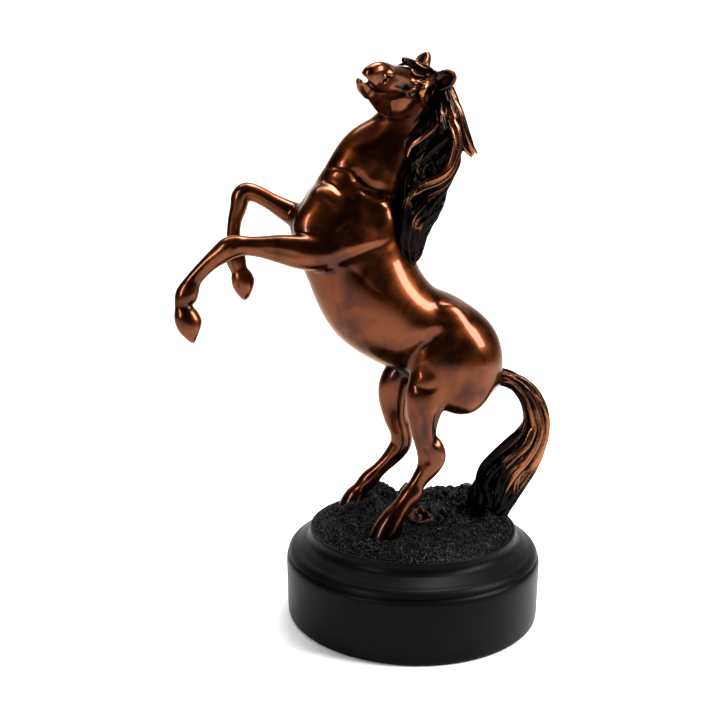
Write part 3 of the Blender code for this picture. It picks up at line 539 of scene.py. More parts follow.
def soften(v):
    for axis in range(3):
        wide = np.concatenate([np.take(v, [0], axis), v, np.take(v, [-1], axis)], axis)
        cut = [slice(None)] * 3
        before, after = list(cut), list(cut)
        before[axis], after[axis] = slice(0, -2), slice(2, None)
        v = 0.5 * v + 0.25 * (wide[tuple(before)] + wide[tuple(after)])
    return v


def lean_matrix(degrees):
    return np.array(Matrix.Rotation(math.radians(degrees), 3, "Y"))


# ---------------------------------------------------------------- meshes
def new_piece(name, points, faces, look, replaces, relief=None, accent=None, normals=None, caps=()):
    """A shown piece from points in millimetres and quads; caps are the outlines and sides that close it."""
    mesh = bpy.data.meshes.new(name)
    mesh.vertices.add(len(points))
    mesh.vertices.foreach_set("co", (np.asarray(points) * MM).astype(np.float32).ravel())
    corners = faces.ravel()
    starts = np.arange(len(faces)) * faces.shape[1]
    for loop, _ in caps:
        starts = np.append(starts, len(corners))
        corners = np.concatenate([corners, loop])
    mesh.loops.add(len(corners))
    mesh.loops.foreach_set("vertex_index", corners.astype(np.int32))
    mesh.polygons.add(len(starts))
    mesh.polygons.foreach_set("loop_start", starts.astype(np.int32))
    mesh.update(calc_edges=True)
    mesh.shade_smooth()
    for label, values in (("relief", relief), ("accent", accent)):
        if values is not None:
            layer = mesh.attributes.new(label, "FLOAT", "POINT")
            layer.data.foreach_set("value", np.asarray(values, np.float32))
    if normals is not None:
        every = normals[corners]
        place = len(faces) * faces.shape[1]
        for loop, side in caps:
            every[place:place + len(loop)] = side
            place += len(loop)
        mesh.normals_split_custom_set(every.tolist())
    mesh.materials.append(look)
    item = bpy.data.objects.new(name, mesh)
    bpy.context.scene.collection.objects.link(item)
    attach(item, "root")
    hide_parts(*replaces)
    return item


def part_of(faces, chosen):
    """The chosen faces with their points numbered anew, and the old number of each point."""
    kept, inverse = np.unique(faces[chosen], return_inverse=True)
    return kept, inverse.reshape(-1, faces.shape[1])


def outlines(faces):
    """The edge loops of an open piece, each in the order of the face that closes it."""
    start, end = faces.ravel(), np.roll(faces, -1, 1).ravel()
    size = int(faces.max()) + 1
    forward = start.astype(np.int64) * size + end
    backward = end.astype(np.int64) * size + start
    open_edges = ~np.isin(forward, backward)
    following = dict(zip(end[open_edges].tolist(), start[open_edges].tolist()))
    loops = []
    while following:
        first, spot = following.popitem()
        loop = [first]
        while spot != first:
            loop.append(spot)
            spot = following.pop(spot)
        loops.append(np.array(loop))
    return loops


# ---------------------------------------------------------------- materials
class Look:
    """A Principled material with helpers that add procedural nodes."""

    def __init__(self, name, metallic, roughness, coat=0.0, coat_roughness=0.05):
        self.material = bpy.data.materials.new(name)
        self.material.use_nodes = True
        self.tree = self.material.node_tree
        self.shader = self.tree.nodes["Principled BSDF"]
        self.shader.inputs["Metallic"].default_value = metallic
        self.shader.inputs["Roughness"].default_value = roughness
        self.shader.inputs["Coat Weight"].default_value = coat
        self.shader.inputs["Coat Roughness"].default_value = coat_roughness
        self.place = self.tree.nodes.new("ShaderNodeTexCoord").outputs["Object"]

    def link(self, output, node, socket):
        self.tree.links.new(output, node.inputs[socket])

    def noise(self, size, detail=3.0, roughness=0.55, distortion=0.0):
        """Noise whose features are about size millimetres across."""
        node = self.tree.nodes.new("ShaderNodeTexNoise")
        node.inputs["Scale"].default_value = 1.0 / (size * MM)
        node.inputs["Detail"].default_value = detail
        node.inputs["Roughness"].default_value = roughness
        node.inputs["Distortion"].default_value = distortion
        self.link(self.place, node, "Vector")
        return node.outputs["Fac"]

    def attribute(self, name):
        node = self.tree.nodes.new("ShaderNodeAttribute")
        node.attribute_name = name
        return node.outputs["Fac"]

    def span(self, value, low, high, to_low=0.0, to_high=1.0):
        node = self.tree.nodes.new("ShaderNodeMapRange")
        node.inputs["From Min"].default_value = low
        node.inputs["From Max"].default_value = high
        node.inputs["To Min"].default_value = to_low
        node.inputs["To Max"].default_value = to_high
        self.link(value, node, "Value")
        return node.outputs["Result"]

    def maths(self, operation, one, two):
        node = self.tree.nodes.new("ShaderNodeMath")
        node.operation = operation
        for index, value in enumerate((one, two)):
            if isinstance(value, float):
                node.inputs[index].default_value = value
            else:
                self.tree.links.new(value, node.inputs[index])
        return node.outputs["Value"]

    def mix(self, share, one, two):
        node = self.tree.nodes.new("ShaderNodeMix")
        node.data_type = "RGBA"
        self.tree.links.new(share, node.inputs[0])
        for socket, value in ((6, one), (7, two)):
            if isinstance(value, tuple):
                node.inputs[socket].default_value = (*value, 1.0)
            else:
                self.tree.links.new(value, node.inputs[socket])
        return node.outputs[2]

    def add(self, one, two):
        return self.maths("ADD", one, two)

    def times(self, one, two):
        return self.maths("MULTIPLY", one, two)

    def colour(self, output):
        self.link(output, self.shader, "Base Color")

    def rough(self, output):
        self.link(output, self.shader, "Roughness")

    def bump(self, height, distance):
        """Fine unevenness, distance millimetres deep."""
        node = self.tree.nodes.new("ShaderNodeBump")
        node.inputs["Distance"].default_value = distance * MM
        self.link(height, node, "Height")
        self.link(node.outputs["Normal"], self.shader, "Normal")


COPPER = (0.092, 0.0210, 0.0048)
COPPER_LIGHT = (0.34, 0.110, 0.036)
COPPER_DARK = (0.030, 0.0062, 0.0015)
COPPER_EDGE = (0.80, 0.66, 0.56, 1.0)
# The colour of the patina in the hollows, which also paints the shade that the tables put on the copper
PATINA_AND_SHADE = (0.006, 0.0035, 0.0028)
HAIR_DEEP = (0.0009, 0.0007, 0.0007)
HAIR_CREST = (0.0085, 0.0034, 0.0026)
HAIR_COPPER = (0.30, 0.112, 0.048)
HAIR_EDGE = (0.30, 0.26, 0.25, 1.0)
BLACK = (0.0014, 0.0014, 0.0017)
BLACK_LIGHT = (0.0024, 0.0024, 0.0028)
BLACK_SPECULAR = 0.034
SATIN = 0.36
GROUND_DEEP = (0.0002, 0.0002, 0.0002)
# Painted glint: the grey that the crests of the ground are coloured with
GROUND_PAINTED_GLINT = (0.090, 0.085, 0.088)
GROUND_COPPER = (0.11, 0.036, 0.013)
GROUND_SPECULAR = 0.035
FELT_DARK = (0.010, 0.011, 0.010)
FELT_LIGHT = (0.032, 0.034, 0.032)
STEEL_DARK = (0.42, 0.42, 0.43)
STEEL_LIGHT = (0.62, 0.62, 0.63)


def copper_look():
    look = Look("copper_lacquer", 0.98, 0.3, coat=0.22, coat_roughness=0.03)
    look.shader.inputs["Specular Tint"].default_value = COPPER_EDGE
    cloud = look.span(look.noise(16.0, 2.0, distortion=0.5), 0.36, 0.62)
    flake = look.noise(0.28, 2.0, 0.7)
    metal = look.mix(cloud, COPPER_DARK, COPPER)
    relief = look.attribute("relief")
    metal = look.mix(look.times(look.span(relief, 0.05, 0.45), 0.34), metal, COPPER_LIGHT)
    # The relief also carries the painted shade of the tables, so this mix paints shade as well as the patina
    # in the hollows
    ragged = look.add(relief, look.span(look.noise(2.4), 0.2, 0.8, -0.05, 0.05))
    metal = look.mix(look.span(ragged, -0.10, -0.34), metal, PATINA_AND_SHADE)
    look.colour(look.mix(look.span(flake, 0.35, 0.9, 0.0, 0.08), metal, COPPER_LIGHT))
    look.rough(look.add(look.span(cloud, 0.0, 1.0, 0.20, 0.28), look.span(flake, 0.3, 0.7, 0.0, 0.05)))
    look.bump(look.noise(0.5, 2.0), 0.006)
    return look.material


def hair_look():
    """Black patina, rubbed back to copper on the crests of the locks that the accent picks out."""
    look = Look("hair_patina", 0.98, 0.3, coat=0.05, coat_roughness=0.03)
    look.shader.inputs["Specular Tint"].default_value = HAIR_EDGE
    relief = look.attribute("relief")
    accent = look.attribute("accent")
    fine = look.noise(0.9, 3.0)
    worn = look.add(relief, look.span(fine, 0.25, 0.75, -0.10, 0.10))
    metal = look.mix(look.span(worn, 0.0, 0.5), HAIR_DEEP, HAIR_CREST)
    lit = look.add(worn, look.times(accent, 0.85))
    look.colour(look.mix(look.span(lit, 0.60, 1.10), metal, HAIR_COPPER))
    look.rough(look.span(fine, 0.2, 0.8, 0.17, 0.30))
    look.bump(look.noise(0.45, 2.0), 0.02)
    return look.material


def black_look():
    look = Look("black_satin", 0.0, SATIN)
    look.shader.inputs["Specular IOR Level"].default_value = BLACK_SPECULAR
    speck = look.noise(0.35, 3.0)
    cloud = look.noise(20.0, 2.0)
    look.colour(look.mix(look.span(cloud, 0.3, 0.7), BLACK, BLACK_LIGHT))
    look.rough(look.span(speck, 0.25, 0.75, SATIN - 0.05, SATIN + 0.07))
    look.bump(speck, 0.012)
    return look.material


def ground_look():
    """Black in the grooves, a painted grey glint on the crests, and a rub of copper on the curl of earth."""
    look = Look("ground_patina", 0.0, 0.4)
    look.shader.inputs["Specular IOR Level"].default_value = GROUND_SPECULAR
    relief = look.attribute("relief")
    accent = look.attribute("accent")
    fine = look.noise(0.8, 3.0)
    # Painted glint: the crests are coloured grey where the relief is high, in patches
    top = look.span(look.add(relief, look.span(fine, 0.3, 0.7, -0.3, 0.3)), 0.50, 1.10)
    top = look.times(top, look.span(look.noise(5.0, 2.0), 0.35, 0.65, 0.30, 1.0))
    earth = look.mix(top, GROUND_DEEP, GROUND_PAINTED_GLINT)
    rubbed = look.times(look.span(look.add(relief, accent), 0.85, 1.3), look.span(accent, 0.2, 0.6))
    rubbed = look.times(rubbed, look.span(look.noise(2.6, 2.0), 0.42, 0.58))
    look.colour(look.mix(rubbed, earth, GROUND_COPPER))
    look.rough(look.span(fine, 0.25, 0.75, 0.22, 0.36))
    look.bump(fine, 0.04)
    return look.material


def felt_look():
    look = Look("felt_weave", 0.0, 0.95)
    fibre = look.noise(0.6, 5.0, 0.7, 1.2)
    look.colour(look.mix(fibre, FELT_DARK, FELT_LIGHT))
    look.rough(look.span(fibre, 0.2, 0.8, 0.85, 1.0))
    look.bump(fibre, 0.1)
    return look.material


def steel_look():
    look = Look("zinc_steel", 1.0, 0.34)
    speck = look.noise(0.7, 4.0)
    look.colour(look.mix(speck, STEEL_DARK, STEEL_LIGHT))
    look.rough(look.span(speck, 0.3, 0.7, 0.26, 0.44))
    look.bump(speck, 0.01)
    return look.material


# ---------------------------------------------------------------- the horse's body
BODY_BOX = ((-116.0, -27.0, 41.4), (50.0, 27.0, 264.0))
BODY_CELL = 0.6
# Planes that cut the soles of the raised hooves flat: a point, and the side that goes
RAISED_SOLES = (
    ((-101.9, -12.0, 148.6), (0.93, 0.0, -0.36)),
    ((-77.0, 14.0, 163.4), (0.94, 0.0, -0.33)),
)
HOOF_REACH = 9.0
FORE_SEAM = -59.4
HIND_SEAM = 100.2
HOOF_FLOOR = 44.2
BODY_PARTS = ("torso", "foreleg_left", "foreleg_right", "hind_leg_left", "hind_leg_right")


def build_body(look):
    body = Field(*BODY_BOX, BODY_CELL)
    body.sweep(refine(BARREL, 12), 0.0)
    body.sweep(refine(NECK, 14), 8.0)
    for centre, size, lean, blend in MUSCLES:
        for side in (-1, 1):
            body.blob((centre[0], centre[1] * side, centre[2]), size, lean_matrix(lean), blend)
    for leg in (NEAR_FORELEG, FAR_FORELEG, NEAR_HIND_LEG, FAR_HIND_LEG):
        body.sweep(refine(leg, 6), 3.0)
    for side, depth, width, line in FOLDS:
        body.fold(side, depth, width, line)
    for hoof in (NEAR_FORE_HOOF, FAR_FORE_HOOF, NEAR_HIND_HOOF, FAR_HIND_HOOF):
        body.sweep(refine(hoof, 4), 0.4)
    for centre, normal in RAISED_SOLES:
        cut, x, y, z = body.block(np.array(centre) - HOOF_REACH, np.array(centre) + HOOF_REACH)
        above = (x - centre[0]) * normal[0] + (z - centre[2]) * normal[2] + 0 * y
        body.carve(cut, -above.astype(np.float32), 0.6)
    body.soften(2)
    height = body.low[2] + body.cell * np.arange(body.count[2])
    body.value = np.maximum(body.value, (HOOF_FLOOR - height)[None, None, :].astype(np.float32))
    points, quads = body.surface()
    middle = points[quads].mean(1)
    right = (middle[:, 1] >= 0).astype(int)
    label = np.where(middle[:, 0] < FORE_SEAM, 1 + right, 0)
    label = np.where(middle[:, 2] < HIND_SEAM, 3 + right, label)
    least, most = np.full(len(points), 9), np.full(len(points), -1)
    for corner in range(4):
        np.minimum.at(least, quads[:, corner], label)
        np.maximum.at(most, quads[:, corner], label)
    seam = least != most
    for axis, place, ours in ((0, FORE_SEAM, seam & (most < 3)), (2, HIND_SEAM, seam & (most > 2))):
        for _ in range(4):
            points[ours] = body.settle(points[ours], 1)
            points[ours, axis] = place
    normals = unit(body.gradient(points))
    # The relief is lowered where the table paints patina and shade: painted shade under the jaw, between the
    # legs and on surfaces that face away from the lamps
    relief = body.relief(points, 1.3) - shade_near(points, BODY_PATINA_AND_SHADE)
    for index, name in enumerate(BODY_PARTS):
        kept, faces = part_of(quads, label == index)
        caps = []
        for loop in outlines(faces):
            across = seam_side(points[kept[loop]])
            caps.append((loop, across if index else -across))
        new_piece("cast_" + name, points[kept], faces, look, [name + "_casting"], relief[kept],
                  normals=normals[kept], caps=caps)


def seam_side(loop):
    """The outward side of a limb's cap: the axis along which its outline is flat."""
    flat = np.argmin(np.ptp(loop, axis=0))
    side = np.zeros(3)
    side[flat] = 1.0
    return side


# ---------------------------------------------------------------- the head
HEAD_BOX = ((-9.0, -15.0, -27.0), (55.0, 15.0, 9.0))
HEAD_CELL = 0.33
# How far one shape of the head runs into the next, in head lengths
JAW_BLEND, LIP_BLEND, LID_BLEND, EAR_BLEND, CUP_BLEND = 0.04, 0.006, 0.010, 0.03, 0.012


def head_turn():
    """Turns the head frame, x to the nose and y to the left cheek, into the horse's."""
    turn = Matrix.Rotation(math.radians(HEAD_TURN), 3, "Z")
    lift = Matrix.Rotation(math.radians(-HEAD_LIFT), 3, "Y")
    roll = Matrix.Rotation(math.radians(HEAD_ROLL), 3, "X")
    return np.array(turn @ lift @ roll)


def head_rows(stations, side=1, steps=4):
    rows = refine(np.array(stations) * HEAD_LENGTH, steps)
    rows[:, 1] *= side
    return rows


def head_blob(head, shape, side=1, carve=False):
    centre, half, lean, blend = shape
    place = np.array(centre) * (1, side, 1) * HEAD_LENGTH
    head.blob(place, np.array(half) * HEAD_LENGTH, lean_matrix(lean), blend * HEAD_LENGTH, carve)


def build_head(look):
    head = Field(*HEAD_BOX, HEAD_CELL)
    head.sweep(head_rows(FACE, steps=6), 0.0)
    for side in (-1, 1):
        head_blob(head, CHEEK, side)
    head.sweep(head_rows(JAW, steps=6), JAW_BLEND * HEAD_LENGTH)
    for side in (-1, 1):
        for shape in HEAD_BLOBS:
            head_blob(head, shape, side)
        for shape in HEAD_HOLLOWS:
            head_blob(head, shape, side, carve=True)
    for shape in NOSTRILS:
        head_blob(head, shape, carve=True)
    head.sweep(head_rows(MOUTH), LIP_BLEND * HEAD_LENGTH, carve=True)
    head_blob(head, MOUTH_FILL)
    for side in (-1, 1):
        head_blob(head, EYE, side)
        for lid in (UPPER_LID, LOWER_LID):
            head.sweep(head_rows(lid, side), LID_BLEND * HEAD_LENGTH)
        ear, cup = EARS[side]
        head.sweep(head_rows(ear, side), EAR_BLEND * HEAD_LENGTH)
        head.sweep(head_rows(cup, side), CUP_BLEND * HEAD_LENGTH, carve=True)
    head.soften(1)
    points, quads = head.surface()
    # The relief is lowered where the table paints patina and shade: painted shade in the nostrils and the
    # mouth and under the jaw
    relief = head.relief(points, 0.8) - shade_near(points / HEAD_LENGTH, HEAD_PATINA_AND_SHADE)
    placed = points @ head_turn().T + np.array(POLL)
    new_piece("cast_head", placed, quads, look, ["head_casting"], relief)


# ---------------------------------------------------------------- hair
HAIR_CELL = 0.36
# The shares of a lock's length over which it swells from its root and thins to its tip
LOCK_ROOT, LOCK_TIP = 0.10, 0.42
# Locks of more than this half width, in millimetres, have a fifth strand
BROAD_LOCK = 2.3
MANE = (
    (5.0, -6.0, 261.0, 3.4, 4.6), (8.2, -7.0, 255.6, 5.6, 7.0), (9.6, -7.8, 247.5, 8.2, 8.4),
    (9.2, -8.0, 238.5, 11.2, 9.2), (7.4, -8.0, 229.6, 12.2, 9.4), (5.6, -8.0, 221.0, 10.4, 9.4),
    (2.8, -8.4, 212.0, 9.6, 9.0), (0.8, -8.6, 203.0, 8.8, 8.8), (-2.4, -8.6, 194.0, 6.6, 7.6),
    (-3.8, -8.0, 185.5, 5.6, 6.4), (-3.6, -7.0, 178.4, 3.8, 4.6),
)
TAIL = (
    (36.6, 0.0, 119.6, 4.0, 4.2), (45.0, 0.0, 118.6, 3.4, 4.0), (50.6, 0.0, 116.2, 3.2, 4.4),
    (56.0, 0.0, 112.4, 3.4, 5.2), (60.6, 0.0, 107.0, 4.0, 5.8), (63.2, 0.0, 100.4, 4.6, 6.6),
    (63.4, 0.5, 92.6, 5.8, 7.4), (60.8, 1.0, 84.6, 8.0, 8.2), (56.8, 2.0, 77.0, 9.8, 8.8),
    (51.8, 3.0, 69.2, 11.0, 9.4), (46.2, 4.0, 61.0, 11.6, 9.8), (41.0, 4.0, 52.6, 10.8, 9.8),
    (38.6, 4.0, 44.0, 10.4, 9.6),
)
# Locks that are laid over the masses: accent (how much copper shows), half width, half thickness, points
MANE_LOCKS = (
    (1.0, 2.7, 2.0, (
        (10.6, -16.3, 244.4), (14.0, -16.9, 237.4), (15.0, -16.8, 230.9), (13.6, -17.0, 224.6),
        (11.2, -17.4, 219.3), (6.4, -17.6, 215.2), (-0.5, -17.4, 212.1), (-5.0, -16.6, 208.5),
        (-6.6, -16.0, 204.0), (-5.6, -16.0, 199.5), (-3.2, -16.0, 194.6),
    )),
    (0.75, 2.2, 1.8, (
        (15.8, -14.0, 230.6), (16.0, -13.4, 223.4), (13.6, -14.4, 218.0), (9.4, -15.8, 212.8),
        (3.2, -17.0, 208.8), (-1.7, -17.0, 204.4), (-3.6, -16.4, 199.6), (-3.2, -15.6, 195.0),
        (-4.6, -14.4, 190.0),
    )),
    (0.45, 2.1, 1.7, (
        (18.4, -8.5, 229.0), (17.6, -8.8, 222.2), (14.8, -10.4, 217.2), (12.2, -12.2, 212.8),
        (8.0, -14.8, 208.0), (3.4, -16.4, 203.0), (0.8, -16.2, 197.6), (-0.7, -15.2, 192.4),
        (-2.6, -13.6, 187.0),
    )),
    (0.75, 1.7, 1.7, (
        (13.4, -8.1, 215.8), (11.8, -9.4, 210.4), (8.6, -11.8, 204.6), (4.6, -13.0, 198.5),
        (2.0, -12.6, 192.0), (0.6, -11.4, 186.0), (-1.0, -9.8, 180.4), (-2.0, -8.2, 175.6),
    )),
    (0.0, 2.4, 2.0, (
        (-2.6, -17.0, 213.6), (-7.0, -17.0, 207.4), (-9.0, -17.0, 200.4), (-9.4, -16.4, 193.6),
        (-9.8, -15.2, 187.4), (-9.6, -13.8, 182.4), (-6.8, -11.8, 177.6),
    )),
    (0.1, 2.2, 1.9, (
        (1.6, -17.8, 207.3), (-4.4, -17.6, 199.8), (-6.6, -16.6, 191.9), (-7.0, -14.8, 185.2),
        (-6.0, -12.8, 179.8), (-3.4, -10.6, 175.4),
    )),
    (0.0, 2.0, 1.8, (
        (-4.6, -14.6, 221.0), (-7.6, -15.4, 214.4), (-8.4, -16.4, 208.6), (-7.0, -17.2, 203.0),
        (-7.8, -16.8, 196.4), (-8.6, -15.8, 190.4),
    )),
    (0.15, 1.6, 1.5, (
        (0.4, -14.0, 190.0), (-1.6, -13.0, 184.6), (-2.4, -11.6, 179.6), (-2.8, -9.8, 174.8),
    )),
    (0.8, 1.4, 1.4, (
        (7.4, -16.6, 241.2), (3.0, -16.8, 236.2), (-1.4, -15.6, 232.6), (-5.4, -13.8, 229.2),
        (-6.8, -13.0, 224.6),
    )),
    (0.35, 1.4, 1.4, (
        (4.6, -15.2, 244.0), (-0.1, -14.2, 238.6), (-4.2, -12.6, 235.4), (-7.6, -11.8, 231.6),
        (-8.0, -11.6, 227.2),
    )),
    (0.3, 1.5, 1.4, ((3.6, -13.8, 249.8), (0.1, -12.6, 245.0), (-3.8, -12.0, 240.8), (-7.4, -11.8, 236.0))),
    (0.45, 1.5, 1.5, (
        (8.4, -17.4, 234.2), (3.8, -17.6, 228.9), (-0.6, -16.8, 224.4), (-3.2, -15.9, 220.0),
        (-1.6, -16.0, 216.9),
    )),
    (0.2, 1.5, 1.5, ((6.0, -17.0, 229.6), (0.6, -16.6, 225.4), (-4.2, -15.2, 221.4), (-6.0, -14.6, 217.6))),
    (0.3, 2.0, 1.6, (
        (8.4, -13.0, 256.0), (10.9, -15.2, 249.4), (12.6, -16.6, 242.4), (12.6, -17.2, 236.0),
    )),
    (0.9, 1.9, 1.6, (
        (12.4, -13.2, 252.6), (16.0, -14.0, 246.4), (18.3, -13.2, 240.6), (20.6, -11.0, 234.6),
        (24.0, -8.4, 229.9), (27.6, -6.6, 226.3),
    )),
    (0.7, 1.6, 1.5, (
        (14.0, -14.4, 243.5), (16.6, -14.4, 237.3), (18.6, -12.6, 232.1), (20.6, -10.8, 228.4),
        (23.6, -8.6, 226.4),
    )),
    (0.5, 2.3, 1.8, (
        (13.4, -12.0, 250.0), (17.6, -12.0, 243.6), (19.8, -10.6, 237.0), (22.0, -9.0, 231.4),
        (25.6, -7.4, 226.0),
    )),
    (0.15, 2.4, 2.0, (
        (14.0, -10.0, 246.0), (17.6, -9.6, 239.6), (19.4, -8.6, 233.4), (21.6, -7.6, 228.8),
        (25.0, -7.0, 225.0),
    )),
    (0.1, 1.8, 2.2, (
        (11.2, -9.2, 254.6), (16.4, -8.4, 249.6), (19.6, -7.8, 243.0), (22.2, -7.2, 236.0),
        (25.0, -6.4, 230.4), (28.0, -5.6, 226.8),
    )),
    (0.2, 1.7, 2.0, (
        (9.6, -5.0, 256.4), (15.0, -4.0, 250.6), (17.8, -3.4, 243.4), (19.0, -3.2, 236.0),
        (18.8, -3.4, 229.0), (17.2, -4.4, 223.0),
    )),
)
TAIL_LOCKS = (
    (0.8, 1.7, 1.5, (
        (44.0, -2.6, 120.6), (53.1, -3.2, 117.9), (60.1, -3.6, 112.2), (64.5, -4.0, 104.7),
        (66.7, -4.4, 95.9), (66.0, -4.8, 86.4), (62.5, -5.0, 77.4), (57.7, -5.0, 68.6), (52.6, -4.8, 60.3),
        (46.4, -4.6, 51.0),
    )),
    (0.7, 1.7, 1.5, (
        (44.6, -4.0, 119.1), (51.7, -4.8, 115.5), (57.3, -5.8, 109.5), (60.9, -6.6, 101.9),
        (62.6, -7.4, 93.8), (60.7, -7.9, 85.1), (55.9, -7.8, 77.0), (50.1, -7.2, 69.3), (45.7, -6.8, 61.5),
        (42.6, -6.4, 53.0),
    )),
    (0.8, 1.6, 1.4, (
        (45.2, -3.8, 118.1), (50.9, -4.6, 113.4), (55.8, -5.2, 106.6), (58.3, -6.2, 99.1),
        (59.1, -7.0, 92.2), (55.7, -7.6, 84.2), (49.5, -6.8, 78.5), (44.6, -6.2, 72.8), (41.6, -6.2, 65.7),
        (39.6, -6.4, 56.0),
    )),
    (0.75, 1.4, 1.3, (
        (58.4, -6.4, 94.2), (54.3, -7.6, 84.7), (47.7, -7.0, 79.4), (42.9, -5.8, 74.7), (38.0, -4.8, 68.4),
        (35.8, -4.8, 60.5),
    )),
    (0.55, 1.7, 1.5, (
        (45.3, -3.0, 116.9), (50.9, -2.4, 111.0), (54.8, -2.6, 104.2), (55.8, -3.6, 96.4),
        (53.3, -4.5, 90.1), (47.5, -3.8, 83.9), (41.1, -2.5, 78.0), (35.4, -1.4, 71.6), (31.9, -1.6, 64.0),
        (30.0, -2.0, 55.0),
    )),
    (0.0, 1.7, 1.6, (
        (53.5, -3.6, 92.2), (46.9, -2.6, 85.6), (40.2, -1.0, 79.0), (34.6, -0.4, 72.4), (32.4, -1.8, 65.6),
        (33.4, -3.6, 58.0), (31.0, -4.0, 50.0),
    )),
    (0.0, 1.6, 1.6, (
        (44.0, -6.2, 76.0), (38.6, -5.0, 71.0), (35.6, -4.6, 64.4), (36.4, -5.4, 57.6), (34.0, -5.0, 50.0),
    )),
)
FORELOCK = (
    (0.25, 0.056, 0.034, (
        (0.1, -0.01, 0.02), (0.28, -0.03, 0.045), (0.4, -0.05, 0.045), (0.47, -0.06, 0.045),
        (0.5, -0.06, 0.072),
    )),
    (0.55, 0.04, 0.034, (
        (0.0, 0.03, 0.0), (0.14, 0.055, 0.025), (0.28, 0.075, 0.025), (0.42, 0.075, 0.015),
        (0.5, 0.06, 0.035),
    )),
    (0.25, 0.04, 0.034, (
        (0.0, 0.05, -0.01), (0.12, 0.1, 0.0), (0.24, 0.13, -0.01), (0.36, 0.14, -0.02),
        (0.44, 0.125, -0.03),
    )),
    (1.0, 0.04, 0.03, (
        (0.04, 0.06, 0.0), (0.18, 0.12, 0.01), (0.31, 0.155, -0.025), (0.35, 0.185, -0.085),
        (0.29, 0.2, -0.15), (0.2, 0.2, -0.22), (0.12, 0.19, -0.285),
    )),
    (0.15, 0.042, 0.034, (
        (0.0, -0.03, 0.0), (0.14, -0.05, 0.03), (0.28, -0.08, 0.035), (0.4, -0.09, 0.03),
        (0.47, -0.1, 0.055),
    )),
    (0.1, 0.04, 0.032, (
        (0.0, -0.05, -0.01), (0.12, -0.1, 0.0), (0.26, -0.14, -0.01), (0.36, -0.16, -0.05),
    )),
    (0.6, 0.034, 0.03, ((0.06, 0.02, 0.03), (0.18, 0.04, 0.065), (0.3, 0.03, 0.07), (0.4, 0.0, 0.085))),
    (0.1, 0.036, 0.032, ((0.02, 0.04, 0.03), (0.12, 0.08, 0.045), (0.22, 0.1, 0.03), (0.3, 0.11, 0.04))),
    (0.2, 0.034, 0.03, ((0.0, 0.07, -0.02), (0.08, 0.13, -0.02), (0.14, 0.17, -0.07), (0.12, 0.19, -0.14))),
)


TAIL_SHADE = (
    ((38.0, 0.0, 48.0), (16.0, 20.0, 12.0), 0.95),
    ((38.0, -4.0, 68.0), (7.0, 12.0, 9.0), 0.70),
)
# Lines of the tail that shine like copper: accent, half width, points
TAIL_GLOW = (
    (0.75, 4.0, ((36.6, 0.0, 119.6), (46.0, 0.0, 118.4), (53.0, 0.0, 114.6))),
    (1.0, 6.4, (
        (62.8, -2.0, 107.6), (67.0, -2.6, 100.6), (68.4, -3.0, 92.0), (67.2, -3.4, 83.0),
        (63.6, -3.6, 74.6),
    )),
    (0.84, 5.4, (
        (60.6, -6.0, 100.0), (61.0, -7.0, 92.0), (58.0, -7.0, 83.0), (53.0, -6.6, 72.0), (49.0, -6.0, 60.0),
    )),
)
TAIL_SHIFT = np.array([0.8, 0.0, 0.2])
# The room that each field of hair takes up
MANE_BOX = ((-15.0, -22.5, 168.0), (32.0, 6.0, 268.0))
TAIL_BOX = ((30.0, -13.5, 41.5), (73.0, 17.0, 127.0))
FORELOCK_BOX = ((-9.0, -15.0, -17.0), (34.0, 15.0, 9.5))
FORELOCK_CELL = 0.3
HEAD_MIDDLE = np.array([10.0, 0.0, -9.0])


class Guide:
    """The centre line of a mass of hair; angle 0 is its near side and 90 its rear."""

    def __init__(self, stations):
        self.rows = refine(stations, 16)
        self.centre = self.rows[:, :3]
        self.along = unit(np.gradient(self.centre, axis=0))
        self.across = unit(np.array([0.0, 1.0, 0.0]) - self.along * self.along[:, 1:2])
        self.up = np.cross(self.across, self.along)

    def spot(self, share, angle, reach):
        i = np.clip((share * (len(self.rows) - 1)).astype(int), 0, len(self.rows) - 1)
        side = -self.across[i] * (self.rows[i, 4] * np.cos(angle))[:, None]
        back = -self.up[i] * (self.rows[i, 3] * np.sin(angle))[:, None]
        return self.centre[i] + (side + back) * reach[:, None]

    def outward(self, points):
        gap = ((points[:, None, :] - self.centre[None]) ** 2).sum(2)
        i = gap.argmin(1)
        q = points - self.centre[i]
        u = (q * self.up[i]).sum(1) / self.rows[i, 3] ** 2
        v = (q * self.across[i]).sum(1) / self.rows[i, 4] ** 2
        return unit(self.up[i] * u[:, None] + self.across[i] * v[:, None])


def tapered(rows, width, thickness, tip):
    """Half sizes along a lock that swells from its root and thins to its tip."""
    t = np.linspace(0, 1, len(rows))
    swell = np.minimum(1, 0.45 + 0.55 * t / LOCK_ROOT) * np.minimum(1, 0.10 + 0.90 * ((1 - t) / tip)) ** 0.8
    return thickness * swell, width * swell


